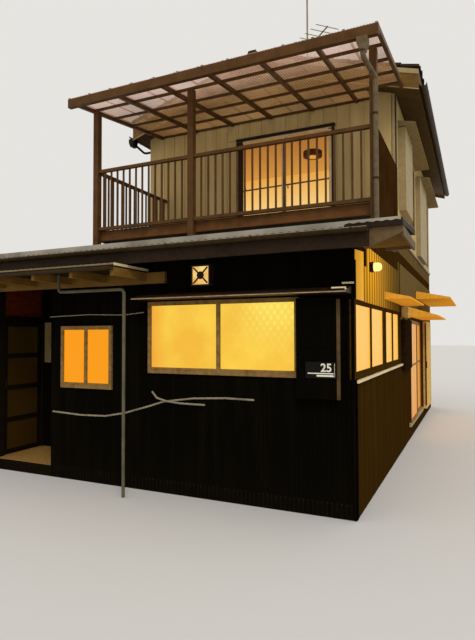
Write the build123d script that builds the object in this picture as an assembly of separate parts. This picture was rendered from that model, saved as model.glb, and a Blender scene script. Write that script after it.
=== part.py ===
from build123d import *
import os

# Two-storey timber townhouse in dark cladding, with a roofed balcony over its low front roof.
# Millimetres, +Z up. The origin is at ground level under the middle of the ground-floor plan,
# the street front faces -Y and the passage side faces +X.

# Plan grid and storeys
half_ken = 910
ground_width = 6 * half_ken
ground_depth = 9 * half_ken
upper_width = 4.5 * half_ken
upper_setback = 3 * half_ken
black_wall_width = 4 * half_ken
wall = 120
plinth_height = 130
floor_build_up = 70
upper_floor_underside = 2860
upper_floor_level = 3100
girder_drop = 160

# Main roof
roof_slope = 0.3
roof_top_at_wall = 5305
roof_underside_at_wall = 5070
eave_overhang = 350
left_eave_overhang = 150
gable_overhang = 280
bargeboard_thickness = 25
bargeboard_drop = 45
ridge_width = 200
ridge_top_width = 120
ridge_height = 95
gutter_radius = 50
gutter_wall = 5

# Low front roof
lean_to_slope = 0.08
lean_to_overhang = 400
lean_to_edge_top = 2610
lean_to_thickness = 45
lean_to_board_height = 155
lean_to_board_thickness = 30
corner_return_reach = 475
lean_to_board_run_on = 200
lean_to_gutter_radius = 38
corner_return_depth = 920
corner_return_outer_height = 130
corner_return_inner_height = 260
strip_outer_height = 60
strip_inner_height = 150

# Entrance recess at the left of the front
recess_width = half_ken
recess_depth = 800
entry_door_head = 1860
entry_lintel_height = 70
entry_jamb = 40
running_gap = 5
seat_gap = 0.3
free_edge_gap = 6
leaf_set_back = 30
transom_inset = 40
entry_leaf_rails = 4

# Windows: offset from the near corner, width, sill and head
frame_depth = 70
frame_proud = 30
frame_bar = 38
glass_set_back = 15
glass_thickness = 6
large_window = (532, 1705, 1270, 2036)
small_window_to_recess = 912
small_window = (black_wall_width - small_window_to_recess, 741, 1067, 1786)
side_window_near = (0, 1610, 1270, 2000)
side_window_far = (1727, 1190, 1270, 2000)
back_window = (1900, 1690, 1270, 2036)
balcony_door = (861, 1574, upper_floor_level, 4785)
upper_window_near = (3900, 1300, 3500, 4660)
upper_window_to_back = 1490
upper_window_far = (ground_depth - upper_window_to_back, 1300, 3160, 4600)
upper_back_window = (1200, 1690, 3900, 4660)

# Side door: two glazed leaves on two tracks
side_door_start = 4000
side_door_width = 2100
side_door_sill = plinth_height + floor_build_up
side_door_head = 1960
leaf_thickness = 30
leaf_overlap = 45
leaf_rail = 60
leaf_mid_rail = 920
leaf_mid_rail_height = 30

# Balcony over the low roof
balcony_setback = half_ken
balcony_width = 3800
post_size = 80
middle_post_offset = 2255
corner_post_offset = 20
fascia_bottom = 2984
fascia_top = 3124
fascia_thickness = 40
deck_thickness = 40
deck_top = 3100
joist_size = 60
joist_count = 4
rail_top = 3965
rail_height = 40
rail_width = 50
baluster_size = 20
baluster_pitch = 100
side_panel_thickness = 25
side_panel_top = 4010

# Roof over the balcony
terrace_edge = 530
terrace_left = 3855
terrace_right = 156
terrace_edge_top = 4790
terrace_slope = 0.13
terrace_notch = 330
terrace_bays = 6
terrace_rows = 5
terrace_bar = 40
terrace_purlin = 25
terrace_rafter_height = 50
terrace_purlin_height = 35
terrace_beam_depth = 110
terrace_beam_width = 60
sheet_thickness = 6

# Rain pipes and aerial
hopper_width = 110
hopper_collar = 60
hopper_height = 130
hopper_offset = -5
rain_pipe_radius = 27
eave_pipe_radius = 19
rain_pipe_drop = 50
rain_pipe_bend = 45
aerial_offset = 5300
aerial_mast_radius = 16
aerial_top = 8600
aerial_boom_height = 7480
aerial_boom_length = 840
aerial_boom_size = 18
aerial_elements = 5
aerial_element_pitch = 165
aerial_element_length = 480
aerial_element_growth = 60
aerial_element_size = 10
aerial_turn = 44

# Porch roof over the entrance and the small window
porch_right = 2250
porch_reach = 600
porch_top = 2380
porch_thickness = 25
porch_rafter_width = 45
porch_rafter_height = 85
porch_rafters = 7
porch_gutter_radius = 35
porch_ledger_end = 2012
porch_ledger_bottom = 2235
porch_ledger_thickness = 45
porch_pipe_radius = 17
porch_pipe_offset = 2350
porch_pipe_run = 900
porch_pipe_stand_off = 300
porch_pipe_drop = 195

# Hoods, shutter cases and side canopies: start and end from the front, reach, bottom, top
sheet_metal = 20
front_hood = (25, 2300, 250, 2050, 2125)
front_case = (120, 532, 100, 1090, 2020)
upper_hood_near = (2950, 5250, 250, 4690, 4770)
upper_hood_start_to_back = 2590
upper_hood_end_to_back = 140
upper_hood_far = (
    ground_depth - upper_hood_start_to_back,
    ground_depth - upper_hood_end_to_back,
    230,
    4620,
    4700,
)
side_hood = (1640, 3350, 300, 2105, 2195)
door_hood_inset = 190
door_hood_overrun = 150
door_hood = (
    side_door_start + door_hood_inset,
    side_door_start + side_door_width + door_hood_overrun,
    450,
    1970,
    2130,
)
rear_canopy_to_back = 40
rear_canopy = (5200, ground_depth - rear_canopy_to_back, 580, 2330, 2470)
upper_case_near = (3000, 3860, 110, 3470, 4680)
upper_case_start_to_back = 2840
upper_case_end_to_back = 1530
upper_case_far = (
    ground_depth - upper_case_start_to_back,
    ground_depth - upper_case_end_to_back,
    85,
    3130,
    4610,
)
side_case = (3110, 3950, 60, 1160, 1900)
meter_box = (3200, 3480, 90, 1930, 2090)
door_case_gap = 20
door_case_length = 1080
door_case_start = side_door_start + side_door_width + door_case_gap
door_case = (door_case_start, door_case_start + door_case_length, 90, 230, 1940)

# Fittings on the front and the passage side
lantern_offset = 1443
lantern_size = 215
lantern_depth = 100
lantern_bottom = 2180
lantern_bar = 14
plate_offset = 144
plate_width = 293
plate_bottom = 1280
plate_height = 150
plate_thickness = 12
wall_lamp_offset = 750
wall_lamp_height = 2380
wall_lamp_radius = 55
wall_lamp_base_depth = 40
wall_lamp_glass = ((0, 0), (45, 0), (45, 50), (36, 70), (18, 80), (0, 82))
conduit_radius = 10
conduit_clip = 16
conduit_route = (
    (3600, 775),
    (3173, 757),
    (2821, 767),
    (2557, 816),
    (2226, 911),
    (2053, 968),
    (1681, 1020),
    (1312, 1040),
    (997, 1037),
)
short_conduit_route = ((2176, 1074), (2114, 1007), (1993, 979), (1816, 964), (1532, 963))

# Derived places
right = ground_width / 2
front = -ground_depth / 2
back = ground_depth / 2
left = -ground_width / 2
upper_left = right - upper_width
upper_front = front + upper_setback
ridge_x = right - upper_width / 2
floor_level = plinth_height + floor_build_up


def block(x0, x1, y0, y1, z0, z1):
    """A box between two corners."""
    return Pos((x0 + x1) / 2, (y0 + y1) / 2, (z0 + z1) / 2) * Box(abs(x1 - x0), abs(y1 - y0), abs(z1 - z0))


def across(x_z_points, y0, y1):
    """An outline in the XZ plane, drawn out from y0 to y1."""
    face = make_face(Polyline(*[(x, z) for x, z in x_z_points], close=True))
    return Pos(0, y1, 0) * (Rot(90, 0, 0) * extrude(face, amount=y1 - y0))


def along(y_z_points, x0, x1):
    """An outline in the YZ plane, drawn out from x0 to x1."""
    face = Plane.YZ * make_face(Polyline(*[(y, z) for y, z in y_z_points], close=True))
    return Pos(x0, 0, 0) * extrude(face, amount=x1 - x0)


def save(name, *solids):
    """Write one node from one or more solids that don't touch."""
    shapes = [solid for item in solids for solid in item.solids()]
    shape = shapes[0] if len(shapes) == 1 else Compound(children=shapes)
    export_step(shape, f"parts/{name}.step")


def lean_to_top(y):
    return lean_to_edge_top + lean_to_slope * (y - front + lean_to_overhang)


def lean_to_underside(y):
    return lean_to_top(y) - lean_to_thickness


def roof_top(x):
    return roof_top_at_wall + roof_slope * (upper_width / 2 - abs(x - ridge_x))


def roof_underside(x):
    return roof_underside_at_wall + roof_slope * (upper_width / 2 - abs(x - ridge_x))


# Openings in walls. A front wall is measured from the right corner, a side wall from the front.
def front_hole(opening, y0, y1):
    offset, width, sill, head = opening
    return block(right - offset - width, right - offset, y0, y1, sill, head)


def side_hole(opening, x0, x1):
    offset, width, sill, head = opening
    return block(x0, x1, front + offset, front + offset + width, sill, head)


def sash(opening):
    """A window frame with its glass, drawn facing -Y with its left lower corner at the origin."""
    offset, width, sill, head = opening
    height = head - sill
    frame = block(0, width, 0, frame_depth, 0, height)
    frame -= block(frame_bar, width - frame_bar, 0, frame_depth, frame_bar, height - frame_bar)
    middle = width / 2
    frame += block(middle - frame_bar / 2, middle + frame_bar / 2, 0, frame_depth, 0, height)
    panes = block(0, width, glass_set_back, glass_set_back + glass_thickness, 0, height) - frame
    return frame, panes


def front_sash(opening, wall_face):
    offset, width, sill, head = opening
    place = Pos(right - offset - width, wall_face - frame_proud, sill)
    return [place * item for item in sash(opening)]


def back_sash(opening, wall_face):
    offset, width, sill, head = opening
    place = Pos(right - offset, wall_face + frame_proud, sill) * Rot(0, 0, 180)
    return [place * item for item in sash(opening)]


def side_sash(opening, wall_face):
    offset, width, sill, head = opening
    place = Pos(wall_face, front + offset, sill) * Rot(0, 0, 90)
    return [place * item for item in sash(opening)]


# Ground storey walls, cut to the slope of the low roof in front
recess_right = right - black_wall_width
recess_left = recess_right - recess_width
above_lean_to = along(
    [
        (front - lean_to_overhang, lean_to_underside(front - lean_to_overhang)),
        (upper_front, lean_to_underside(upper_front)),
        (upper_front, upper_floor_level),
        (front - lean_to_overhang, upper_floor_level),
    ],
    left - wall,
    right + wall,
)


def ground_wall(x0, x1, y0, y1, z0=plinth_height):
    return block(x0, x1, y0, y1, z0, upper_floor_underside) - above_lean_to


def foundation():
    save("foundation", block(left, right, front, back, 0, plinth_height))


def ground_floor():
    deck = block(left + wall, right - wall, front + wall, back - wall, plinth_height, floor_level)
    recess_back = front + recess_depth + wall
    recess = block(recess_left - wall, recess_right + wall, front, recess_back, 0, floor_level)
    save("ground_floor", deck - recess)


def ground_walls():
    front_wall = ground_wall(recess_right, right, front, front + wall)
    front_wall -= front_hole(large_window, front, front + wall)
    front_wall -= front_hole(small_window, front, front + wall)
    front_wall -= side_hole(side_window_near, right - frame_depth, right)
    save("front_wall", front_wall)
    recess_side = ground_wall(recess_right, recess_right + wall, front + wall, front + recess_depth)
    save("recess_side_wall", recess_side)
    save(
        "recess_back_wall",
        ground_wall(recess_left, recess_right + wall, front + recess_depth, front + recess_depth + wall),
    )
    save("left_front_wall", ground_wall(left + wall, recess_left - wall, front, front + wall))
    save("left_wall", ground_wall(left, left + wall, front, back))
    back_wall = block(left + wall, right, back - wall, back, plinth_height, upper_floor_underside)
    save("back_wall", back_wall - front_hole(back_window, back - wall, back))
    near = ground_wall(right - wall, right, front + wall, front + side_door_start)
    near -= side_hole(side_window_near, right - wall, right)
    near -= side_hole(side_window_far, right - wall, right)
    save("right_wall_near", near)
    door_end = front + side_door_start + side_door_width
    save(
        "right_wall_at_door",
        block(right - wall, right, front + side_door_start, door_end, plinth_height, side_door_sill),
        block(right - wall, right, front + side_door_start, door_end, side_door_head, upper_floor_underside),
    )
    save("right_wall_far", ground_wall(right - wall, right, door_end, back - wall))


def leaf_pane(width, height):
    middle = leaf_thickness / 2
    return block(0, width, middle - glass_thickness / 2, middle + glass_thickness / 2, 0, height)


def entry():
    """Posts, lintel and panel round the glazed door in the left side of the recess."""
    post = ground_wall(recess_left - wall, recess_left, front, front + wall)
    jamb_start = front + recess_depth - entry_jamb
    jamb = ground_wall(recess_left - wall, recess_left, jamb_start, front + recess_depth + wall)
    lintel_top = entry_door_head + entry_lintel_height
    lintel = block(recess_left - wall, recess_left, front + wall, jamb_start, entry_door_head, lintel_top)
    panel_back = recess_left - wall + transom_inset
    panel = ground_wall(panel_back, recess_left - transom_inset, front + wall, jamb_start, lintel_top)
    save("entry_posts", post, jamb)
    save("entry_head", lintel + panel)
    leaf_width = jamb_start - (front + wall) - free_edge_gap - seat_gap
    leaf_height = entry_door_head - plinth_height - 2 * running_gap
    leaf = block(0, leaf_width, 0, leaf_thickness, 0, leaf_height)
    pane_height = (leaf_height - (entry_leaf_rails + 1) * leaf_rail) / entry_leaf_rails
    for index in range(entry_leaf_rails):
        low = leaf_rail + index * (pane_height + leaf_rail)
        leaf -= block(leaf_rail, leaf_width - leaf_rail, 0, leaf_thickness, low, low + pane_height)
    place = Pos(recess_left - leaf_set_back, front + wall + free_edge_gap, plinth_height + running_gap)
    place *= Rot(0, 0, 90)
    save("entry_door_leaf", place * leaf)
    save("entry_door_glass", place * (leaf_pane(leaf_width, leaf_height) - leaf))


def upper_storey():
    deck = block(left, right, upper_front, back, upper_floor_underside, upper_floor_level)
    girder = block(
        left + wall,
        right - wall,
        upper_front,
        upper_front + wall,
        upper_floor_underside - girder_drop,
        upper_floor_underside,
    )
    save("upper_floor", deck + girder)
    outline = [
        (upper_left, upper_floor_level),
        (right, upper_floor_level),
        (right, roof_underside(right)),
        (ridge_x, roof_underside(ridge_x)),
        (upper_left, roof_underside(upper_left)),
    ]
    front_wall = across(outline, upper_front, upper_front + wall)
    save("upper_front_wall", front_wall - front_hole(balcony_door, upper_front, upper_front + wall))
    back_wall = across(outline, back - wall, back)
    save("upper_back_wall", back_wall - front_hole(upper_back_window, back - wall, back))
    for name, x0, x1 in (
        ("upper_right_wall", right - wall, right),
        ("upper_left_wall", upper_left, upper_left + wall),
    ):
        profile = [
            (x0, upper_floor_level),
            (x1, upper_floor_level),
            (x1, roof_underside(x1)),
            (x0, roof_underside(x0)),
        ]
        side = across(profile, upper_front + wall, back - wall)
        if x1 == right:
            side -= side_hole(upper_window_near, x0, x1)
            side -= side_hole(upper_window_far, x0, x1)
        save(name, side)


def eave_gutter(eave_x, side, start, end):
    """A half-round trough along Y, hung on the edge of a roof slope."""
    ring = Circle(gutter_radius) - Circle(gutter_radius - gutter_wall)
    trough = ring - Pos(0, gutter_radius) * Rectangle(3 * gutter_radius, 2 * gutter_radius)
    gutter = Rot(90, 0, 0) * extrude(trough, amount=end - start)
    return Pos(eave_x + side * gutter_radius, end, roof_underside(eave_x) + gutter_radius) * gutter


def main_roof():
    roof_front = upper_front - gable_overhang
    roof_back = back + gable_overhang
    boards = []
    for name, eave_x in (
        ("roof_right", right + eave_overhang),
        ("roof_left", upper_left - left_eave_overhang),
    ):
        outline = [
            (ridge_x, roof_underside(ridge_x)),
            (eave_x, roof_underside(eave_x)),
            (eave_x, roof_top(eave_x)),
            (ridge_x, roof_top(ridge_x)),
        ]
        save(name, across(outline, roof_front, roof_back))
        board = [
            (ridge_x, roof_underside(ridge_x) - bargeboard_drop),
            (eave_x, roof_underside(eave_x) - bargeboard_drop),
            (eave_x, roof_top(eave_x)),
            (ridge_x, roof_top(ridge_x)),
        ]
        boards.append(across(board, roof_front - bargeboard_thickness, roof_front))
        boards.append(across(board, roof_back, roof_back + bargeboard_thickness))
    save("bargeboards", boards[0] + boards[2], boards[1] + boards[3])
    half = ridge_width / 2
    top_half = ridge_top_width / 2
    cap_top = roof_top(ridge_x) + ridge_height
    cap = [
        (ridge_x - half, roof_top(ridge_x - half)),
        (ridge_x, roof_top(ridge_x)),
        (ridge_x + half, roof_top(ridge_x + half)),
        (ridge_x + top_half, cap_top),
        (ridge_x - top_half, cap_top),
    ]
    save("roof_ridge", across(cap, roof_front - bargeboard_thickness, roof_back + bargeboard_thickness))


def half_gutter(radius, start, length):
    """A half-round trough along X, hung on a board that faces -Y; start is its left end on the board."""
    x, y, rim = start
    ring = Circle(radius) - Circle(radius - gutter_wall)
    trough = ring - Pos(0, radius) * Rectangle(3 * radius, 2 * radius)
    return Pos(x, y - radius, rim) * extrude(Plane.YZ * trough, amount=length)


def lean_to():
    """The low roof over the front room, with its boards and the boxed return at the near corner."""
    edge = front - lean_to_overhang
    outline = [
        (edge, lean_to_underside(edge)),
        (upper_front, lean_to_underside(upper_front)),
        (upper_front, lean_to_top(upper_front)),
        (edge, lean_to_top(edge)),
    ]
    roof = along(outline, left, right)
    return_end = edge + corner_return_depth
    corner = [
        (edge, lean_to_underside(edge)),
        (return_end, lean_to_underside(return_end)),
        (return_end, lean_to_top(return_end)),
        (edge, lean_to_top(edge)),
    ]
    roof += along(corner, right, right + corner_return_reach)
    save("lean_to_roof", roof)
    board_top = lean_to_underside(edge)
    board_end = right + lean_to_board_run_on
    board_back = edge + lean_to_board_thickness
    board_bottom = board_top - lean_to_board_height
    save("lean_to_front_board", block(left, board_end, edge, board_back, board_bottom, board_top))
    box_profile = [
        (right, board_top),
        (right, board_top - corner_return_inner_height + lean_to_thickness),
        (right + corner_return_reach, board_top - corner_return_outer_height + lean_to_thickness),
        (right + corner_return_reach, board_top),
    ]
    save("corner_return_box", across(box_profile, board_back, return_end))
    strip = [
        (left, upper_floor_level),
        (upper_left, upper_floor_level),
        (upper_left, upper_floor_level + strip_inner_height),
        (left, upper_floor_level + strip_outer_height),
    ]
    save("side_strip_roof", across(strip, upper_front, back))


def bar_lattice(x_places, y_places, x0, x1, y0, y1, z_of_y):
    """Rafters and purlins, fused where they cross, following a slope in Y."""
    width, height = terrace_bar, terrace_rafter_height
    lattice = []
    for x in x_places:
        profile = [(y0, z_of_y(y0) - height), (y1, z_of_y(y1) - height), (y1, z_of_y(y1)), (y0, z_of_y(y0))]
        lattice.append(along(profile, x - width / 2, x + width / 2))
    for y in y_places:
        low, high = y - terrace_purlin / 2, y + terrace_purlin / 2
        top_low, top_high = z_of_y(low), z_of_y(high)
        drop = terrace_purlin_height
        profile = [(low, top_low - drop), (high, top_high - drop), (high, top_high), (low, top_low)]
        lattice.append(along(profile, x0, x1))
    return lattice[0].fuse(*lattice[1:])


balcony_front = front + balcony_setback
balcony_left = right - balcony_width
post_places = (balcony_left + post_size / 2, right - middle_post_offset, right + corner_post_offset)


def terrace_top(y):
    return terrace_edge_top + terrace_slope * (y - front - terrace_edge)


def balcony():
    """Deck on its boards and joists, with rails between the posts."""
    fascia_front = balcony_front + post_size
    inner_front = fascia_front + fascia_thickness
    inner_left = balcony_left + fascia_thickness
    fascia = block(balcony_left, right, fascia_front, upper_front, fascia_bottom, fascia_top)
    fascia -= block(inner_left, right, inner_front, upper_front, fascia_bottom, fascia_top)
    save("balcony_fascia", fascia)
    deck = block(inner_left, right, inner_front, upper_front, deck_top - deck_thickness, deck_top)
    joist_step = (upper_front - inner_front) / joist_count
    for index in range(joist_count):
        middle = inner_front + joist_step * (index + 0.5)
        low, high = middle - joist_size / 2, middle + joist_size / 2
        deck += block(inner_left, right, low, high, deck_top - deck_thickness - joist_size, deck_top)
    save("balcony_deck", deck)
    middle_y = balcony_front + post_size / 2
    half = post_size / 2
    railing = []
    for start, end in (
        (post_places[0] + half, post_places[1] - half),
        (post_places[1] + half, post_places[2] - half),
    ):
        low, high = middle_y - rail_width / 2, middle_y + rail_width / 2
        rail = block(start, end, low, high, rail_top - rail_height, rail_top)
        bottom = Pos(0, 0, fascia_top + rail_height - rail_top) * rail
        bay = [rail, bottom]
        count = round((end - start) / baluster_pitch) - 1
        for index in range(count):
            x = start + (end - start) * (index + 1) / (count + 1)
            bay.append(
                block(
                    x - baluster_size / 2,
                    x + baluster_size / 2,
                    middle_y - baluster_size / 2,
                    middle_y + baluster_size / 2,
                    fascia_top + rail_height,
                    rail_top - rail_height,
                )
            )
        railing.append(bay[0].fuse(*bay[1:]))
    side_x = balcony_left + post_size / 2
    start, end = balcony_front + post_size, upper_front
    low, high = side_x - rail_width / 2, side_x + rail_width / 2
    bay = [
        block(low, high, start, end, rail_top - rail_height, rail_top),
        block(low, high, start, end, fascia_top, fascia_top + rail_height),
    ]
    count = round((end - start) / baluster_pitch) - 1
    for index in range(count):
        y = start + (end - start) * (index + 1) / (count + 1)
        bay.append(
            block(
                side_x - baluster_size / 2,
                side_x + baluster_size / 2,
                y - baluster_size / 2,
                y + baluster_size / 2,
                fascia_top + rail_height,
                rail_top - rail_height,
            )
        )
    railing.append(bay[0].fuse(*bay[1:]))
    save("balcony_railings", *railing)
    face = right + side_panel_thickness
    panel = block(right, face, balcony_front + post_size, upper_front, fascia_bottom, side_panel_top)
    save("balcony_side_panel", panel)


def terrace_roof():
    """Posts, sloping bars and clear sheets over the balcony, with the gutter pipe."""
    x0, x1 = right - terrace_left, right + terrace_right
    edge_y = front + terrace_edge
    half = terrace_bar / 2
    bay = (x1 - x0 - terrace_bar) / terrace_bays
    rafters = [x0 + half + bay * index for index in range(terrace_bays + 1)]
    row_step = (upper_front - terrace_purlin / 2 - edge_y) / terrace_rows
    rows = [edge_y + row_step * index for index in range(1, terrace_rows + 1)]
    frame = bar_lattice(rafters, rows, x0, x1, edge_y, upper_front, terrace_top)
    beam_top = terrace_top(edge_y)
    frame += block(x0, x1, edge_y - terrace_beam_width, edge_y, beam_top - terrace_beam_depth, beam_top)
    notch = block(
        right - terrace_notch,
        x1,
        upper_front - gable_overhang - bargeboard_thickness,
        upper_front,
        upper_floor_level,
        roof_top_at_wall,
    )
    save("terrace_roof_frame", frame - notch)
    start, end = edge_y - terrace_beam_width, upper_front
    sheet = [
        (start, terrace_top(start) + terrace_slope * terrace_beam_width),
        (end, terrace_top(end) + terrace_slope * terrace_beam_width),
        (end, terrace_top(end) + terrace_slope * terrace_beam_width + sheet_thickness),
        (start, terrace_top(start) + terrace_slope * terrace_beam_width + sheet_thickness),
    ]
    save("terrace_roof_sheet", along(sheet, x0, x1) - notch)
    posts = []
    for x in post_places:
        y0, y1 = balcony_front, balcony_front + post_size
        half = post_size / 2
        profile = [
            (y0, lean_to_top(y0)),
            (y1, lean_to_top(y1)),
            (y1, terrace_top(y1) - terrace_rafter_height),
            (y0, terrace_top(y0) - terrace_rafter_height),
        ]
        posts.append(along(profile, x - half, x + half))
    save("terrace_posts", *posts)


def hopper(x, y, top):
    """A rain-water head: a wide collar that narrows to its outlet."""
    half, neck = hopper_width / 2, rain_pipe_radius
    outline = [
        (x - half, top),
        (x + half, top),
        (x + half, top - hopper_collar),
        (x + neck, top - hopper_height),
        (x - neck, top - hopper_height),
        (x - half, top - hopper_collar),
    ]
    return across(outline, y - half, y + half)


def pipe_along(points, radius, bend):
    line = FilletPolyline(*points, radius=bend)
    return sweep(Plane(origin=line @ 0, z_dir=line % 0) * Circle(radius), path=line)


def rain_pipes():
    """The balcony roof's hopper and pipe down its corner post, and the hopper under the left eave."""
    head_x, head_y = right + hopper_offset, front + terrace_edge - terrace_beam_width / 2
    head_top = terrace_top(front + terrace_edge) - terrace_beam_depth - seat_gap
    pipe_x = right + corner_post_offset + rain_pipe_radius
    pipe_y = balcony_front - rain_pipe_radius - seat_gap
    elbow = head_top - hopper_height - rain_pipe_drop
    route = (
        (head_x, head_y, head_top - hopper_collar),
        (head_x, head_y, elbow),
        (pipe_x, pipe_y, elbow - rain_pipe_drop),
        (pipe_x, pipe_y, lean_to_top(pipe_y + rain_pipe_radius) + seat_gap),
    )
    terrace_pipe = hopper(head_x, head_y, head_top) + pipe_along(route, rain_pipe_radius, rain_pipe_bend)
    eave_x = upper_left - left_eave_overhang - gutter_radius
    eave_y = upper_front - gable_overhang + hopper_width / 2
    eave_z = roof_underside(upper_left - left_eave_overhang) - seat_gap
    arm_y = upper_front + hopper_width
    route = (
        (eave_x, eave_y, eave_z - hopper_collar),
        (eave_x, arm_y, eave_z - hopper_height),
        (upper_left - seat_gap, arm_y, eave_z - hopper_height),
    )
    eave_pipe = hopper(eave_x, eave_y, eave_z) + pipe_along(route, eave_pipe_radius, rain_pipe_bend)
    return terrace_pipe, eave_pipe


def gutters():
    """The troughs of the main roof, the low roof and the porch, with the hoppers and their pipes."""
    roof_front, roof_back = upper_front - gable_overhang, back + gable_overhang
    low_edge, board_end = front - lean_to_overhang, right + lean_to_board_run_on
    porch_edge, porch_end = front - porch_reach, right - porch_right
    save(
        "roof_gutters",
        eave_gutter(right + eave_overhang, 1, roof_front, roof_back),
        eave_gutter(upper_left - left_eave_overhang, -1, roof_front, roof_back),
        half_gutter(lean_to_gutter_radius, (left, low_edge, lean_to_underside(low_edge)), board_end - left),
        half_gutter(porch_gutter_radius, (left, porch_edge, porch_top - porch_thickness), porch_end - left),
        *rain_pipes(),
    )


def aerial():
    """Television aerial: a mast on the ridge with a level boom and its cross elements."""
    x, y = ridge_x, front + aerial_offset
    foot = roof_top(ridge_x) + ridge_height
    mast = Pos(x, y, foot) * extrude(Circle(aerial_mast_radius), amount=aerial_top - foot)
    boom = block(-aerial_boom_size / 2, aerial_boom_size / 2, -aerial_boom_length, 0, 0, aerial_boom_size)
    bars = []
    for index in range(aerial_elements):
        middle = -aerial_boom_length + aerial_boom_size + index * aerial_element_pitch
        reach = (aerial_element_length + index * aerial_element_growth) / 2
        low, high = middle - aerial_element_size / 2, middle + aerial_element_size / 2
        bars.append(block(-reach, reach, low, high, 0, aerial_element_size))
    array = Pos(x, y, aerial_boom_height) * (Rot(0, 0, aerial_turn) * boom.fuse(*bars))
    save("roof_aerial", mast + array)


def porch():
    """Flat porch roof on rafters and a wall ledger, with its drain pipe standing on the ground."""
    x0, x1 = left, right - porch_right
    save("porch_roof", block(x0, x1, front - porch_reach, front, porch_top - porch_thickness, porch_top))
    rafter_top = porch_top - porch_thickness
    ledger = block(
        x0,
        right - porch_ledger_end,
        front - porch_ledger_thickness,
        front,
        porch_ledger_bottom,
        rafter_top,
    )
    step = (x1 - x0 - porch_rafter_width) / (porch_rafters - 1)
    rafters = [
        block(
            x0 + step * index,
            x0 + step * index + porch_rafter_width,
            front - porch_reach,
            front - porch_ledger_thickness,
            rafter_top - porch_rafter_height,
            rafter_top,
        )
        for index in range(porch_rafters)
    ]
    save("porch_frame", ledger.fuse(*rafters))
    pipe_x = right - porch_pipe_offset
    pipe_y = front - porch_pipe_stand_off
    pipe_level = rafter_top - porch_pipe_drop
    route = FilletPolyline(
        (pipe_x - porch_pipe_run, pipe_y, rafter_top),
        (pipe_x - porch_pipe_run, pipe_y, pipe_level),
        (pipe_x, pipe_y, pipe_level),
        (pipe_x, pipe_y, 0),
        radius=3 * porch_pipe_radius,
    )
    section = Plane(origin=route @ 0, z_dir=route % 0) * Circle(porch_pipe_radius)
    save("porch_drain_pipe", sweep(section, path=route))


def hood_solid(start, end, reach, bottom, top):
    """A sloping sheet hood: level underside, top falling away from the wall; drawn along Y."""
    profile = [
        (right, bottom),
        (right + reach, bottom),
        (right + reach, bottom + sheet_metal),
        (right, top),
    ]
    return across(profile, front + start, front + end)


def hoods_and_cases():
    start, end, reach, bottom, top = front_hood
    profile = [(front, bottom), (front - reach, bottom), (front - reach, bottom + sheet_metal), (front, top)]
    save("front_window_hood", along(profile, right - end, right - start))
    hoods = (upper_hood_near, upper_hood_far, side_hood, door_hood)
    save("side_hoods", *[hood_solid(*hood) for hood in hoods])
    save("rear_canopy", hood_solid(*rear_canopy))
    start, end, reach, bottom, top = front_case
    save("front_shutter_case", block(right - end, right - start, front - reach, front, bottom, top))
    for name, cases in (
        ("upper_shutter_cases", (upper_case_near, upper_case_far)),
        ("side_wall_cases", (side_case, meter_box, door_case)),
    ):
        boxes = []
        for start, end, reach, bottom, top in cases:
            boxes.append(block(right, right + reach, front + start, front + end, bottom, top))
        save(name, *boxes)


def side_door():
    """Frame in the doorway and two glazed leaves that pass each other on two tracks."""
    bar = frame_bar
    depth = 2 * leaf_thickness + 3 * running_gap
    height = side_door_head - side_door_sill
    outside = right + frame_proud
    frame = block(0, side_door_width, 0, depth, 0, height)
    frame -= block(bar, side_door_width - bar, 0, depth, bar, height - bar)
    place = Pos(outside, front + side_door_start, side_door_sill) * Rot(0, 0, 90)
    save("side_door_frame", place * frame)
    leaf_width = (side_door_width - 2 * bar - 2 * running_gap + leaf_overlap) / 2
    leaf_height = height - 2 * bar - running_gap - seat_gap
    leaf = block(0, leaf_width, 0, leaf_thickness, 0, leaf_height)
    mid_rail_top = leaf_mid_rail + leaf_mid_rail_height
    for low, high in ((leaf_rail, leaf_mid_rail), (mid_rail_top, leaf_height - leaf_rail)):
        leaf -= block(leaf_rail, leaf_width - leaf_rail, 0, leaf_thickness, low, high)
    glass = leaf_pane(leaf_width, leaf_height) - leaf
    start = bar + running_gap
    low = bar + seat_gap
    near_place = place * Pos(start, running_gap, low)
    far_place = place * Pos(side_door_width - start - leaf_width, 2 * running_gap + leaf_thickness, low)
    save("side_door_near_leaf", near_place * leaf)
    save("side_door_near_glass", near_place * glass)
    save("side_door_far_leaf", far_place * leaf)
    save("side_door_far_glass", far_place * glass)


def conduits():
    """Two thin conduits clipped to the front wall; the short one crosses over the long one."""
    over = 3 * conduit_radius + running_gap
    pipes = []
    for stand_off, points in ((conduit_radius + seat_gap, conduit_route), (over, short_conduit_route)):
        line = Polyline(*[(right - a, front - stand_off, z) for a, z in points])
        section = Plane(origin=line @ 0, z_dir=line % 0) * Circle(conduit_radius)
        pipe = sweep(section, path=line, transition=Transition.RIGHT)
        half = conduit_clip / 2
        for a, z in (points[1], points[-2]):
            x = right - a
            pipe += block(x - half, x + half, front - stand_off, front, z - half, z + half)
        pipes.append(pipe)
    save("wall_conduits", *pipes)


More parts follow.
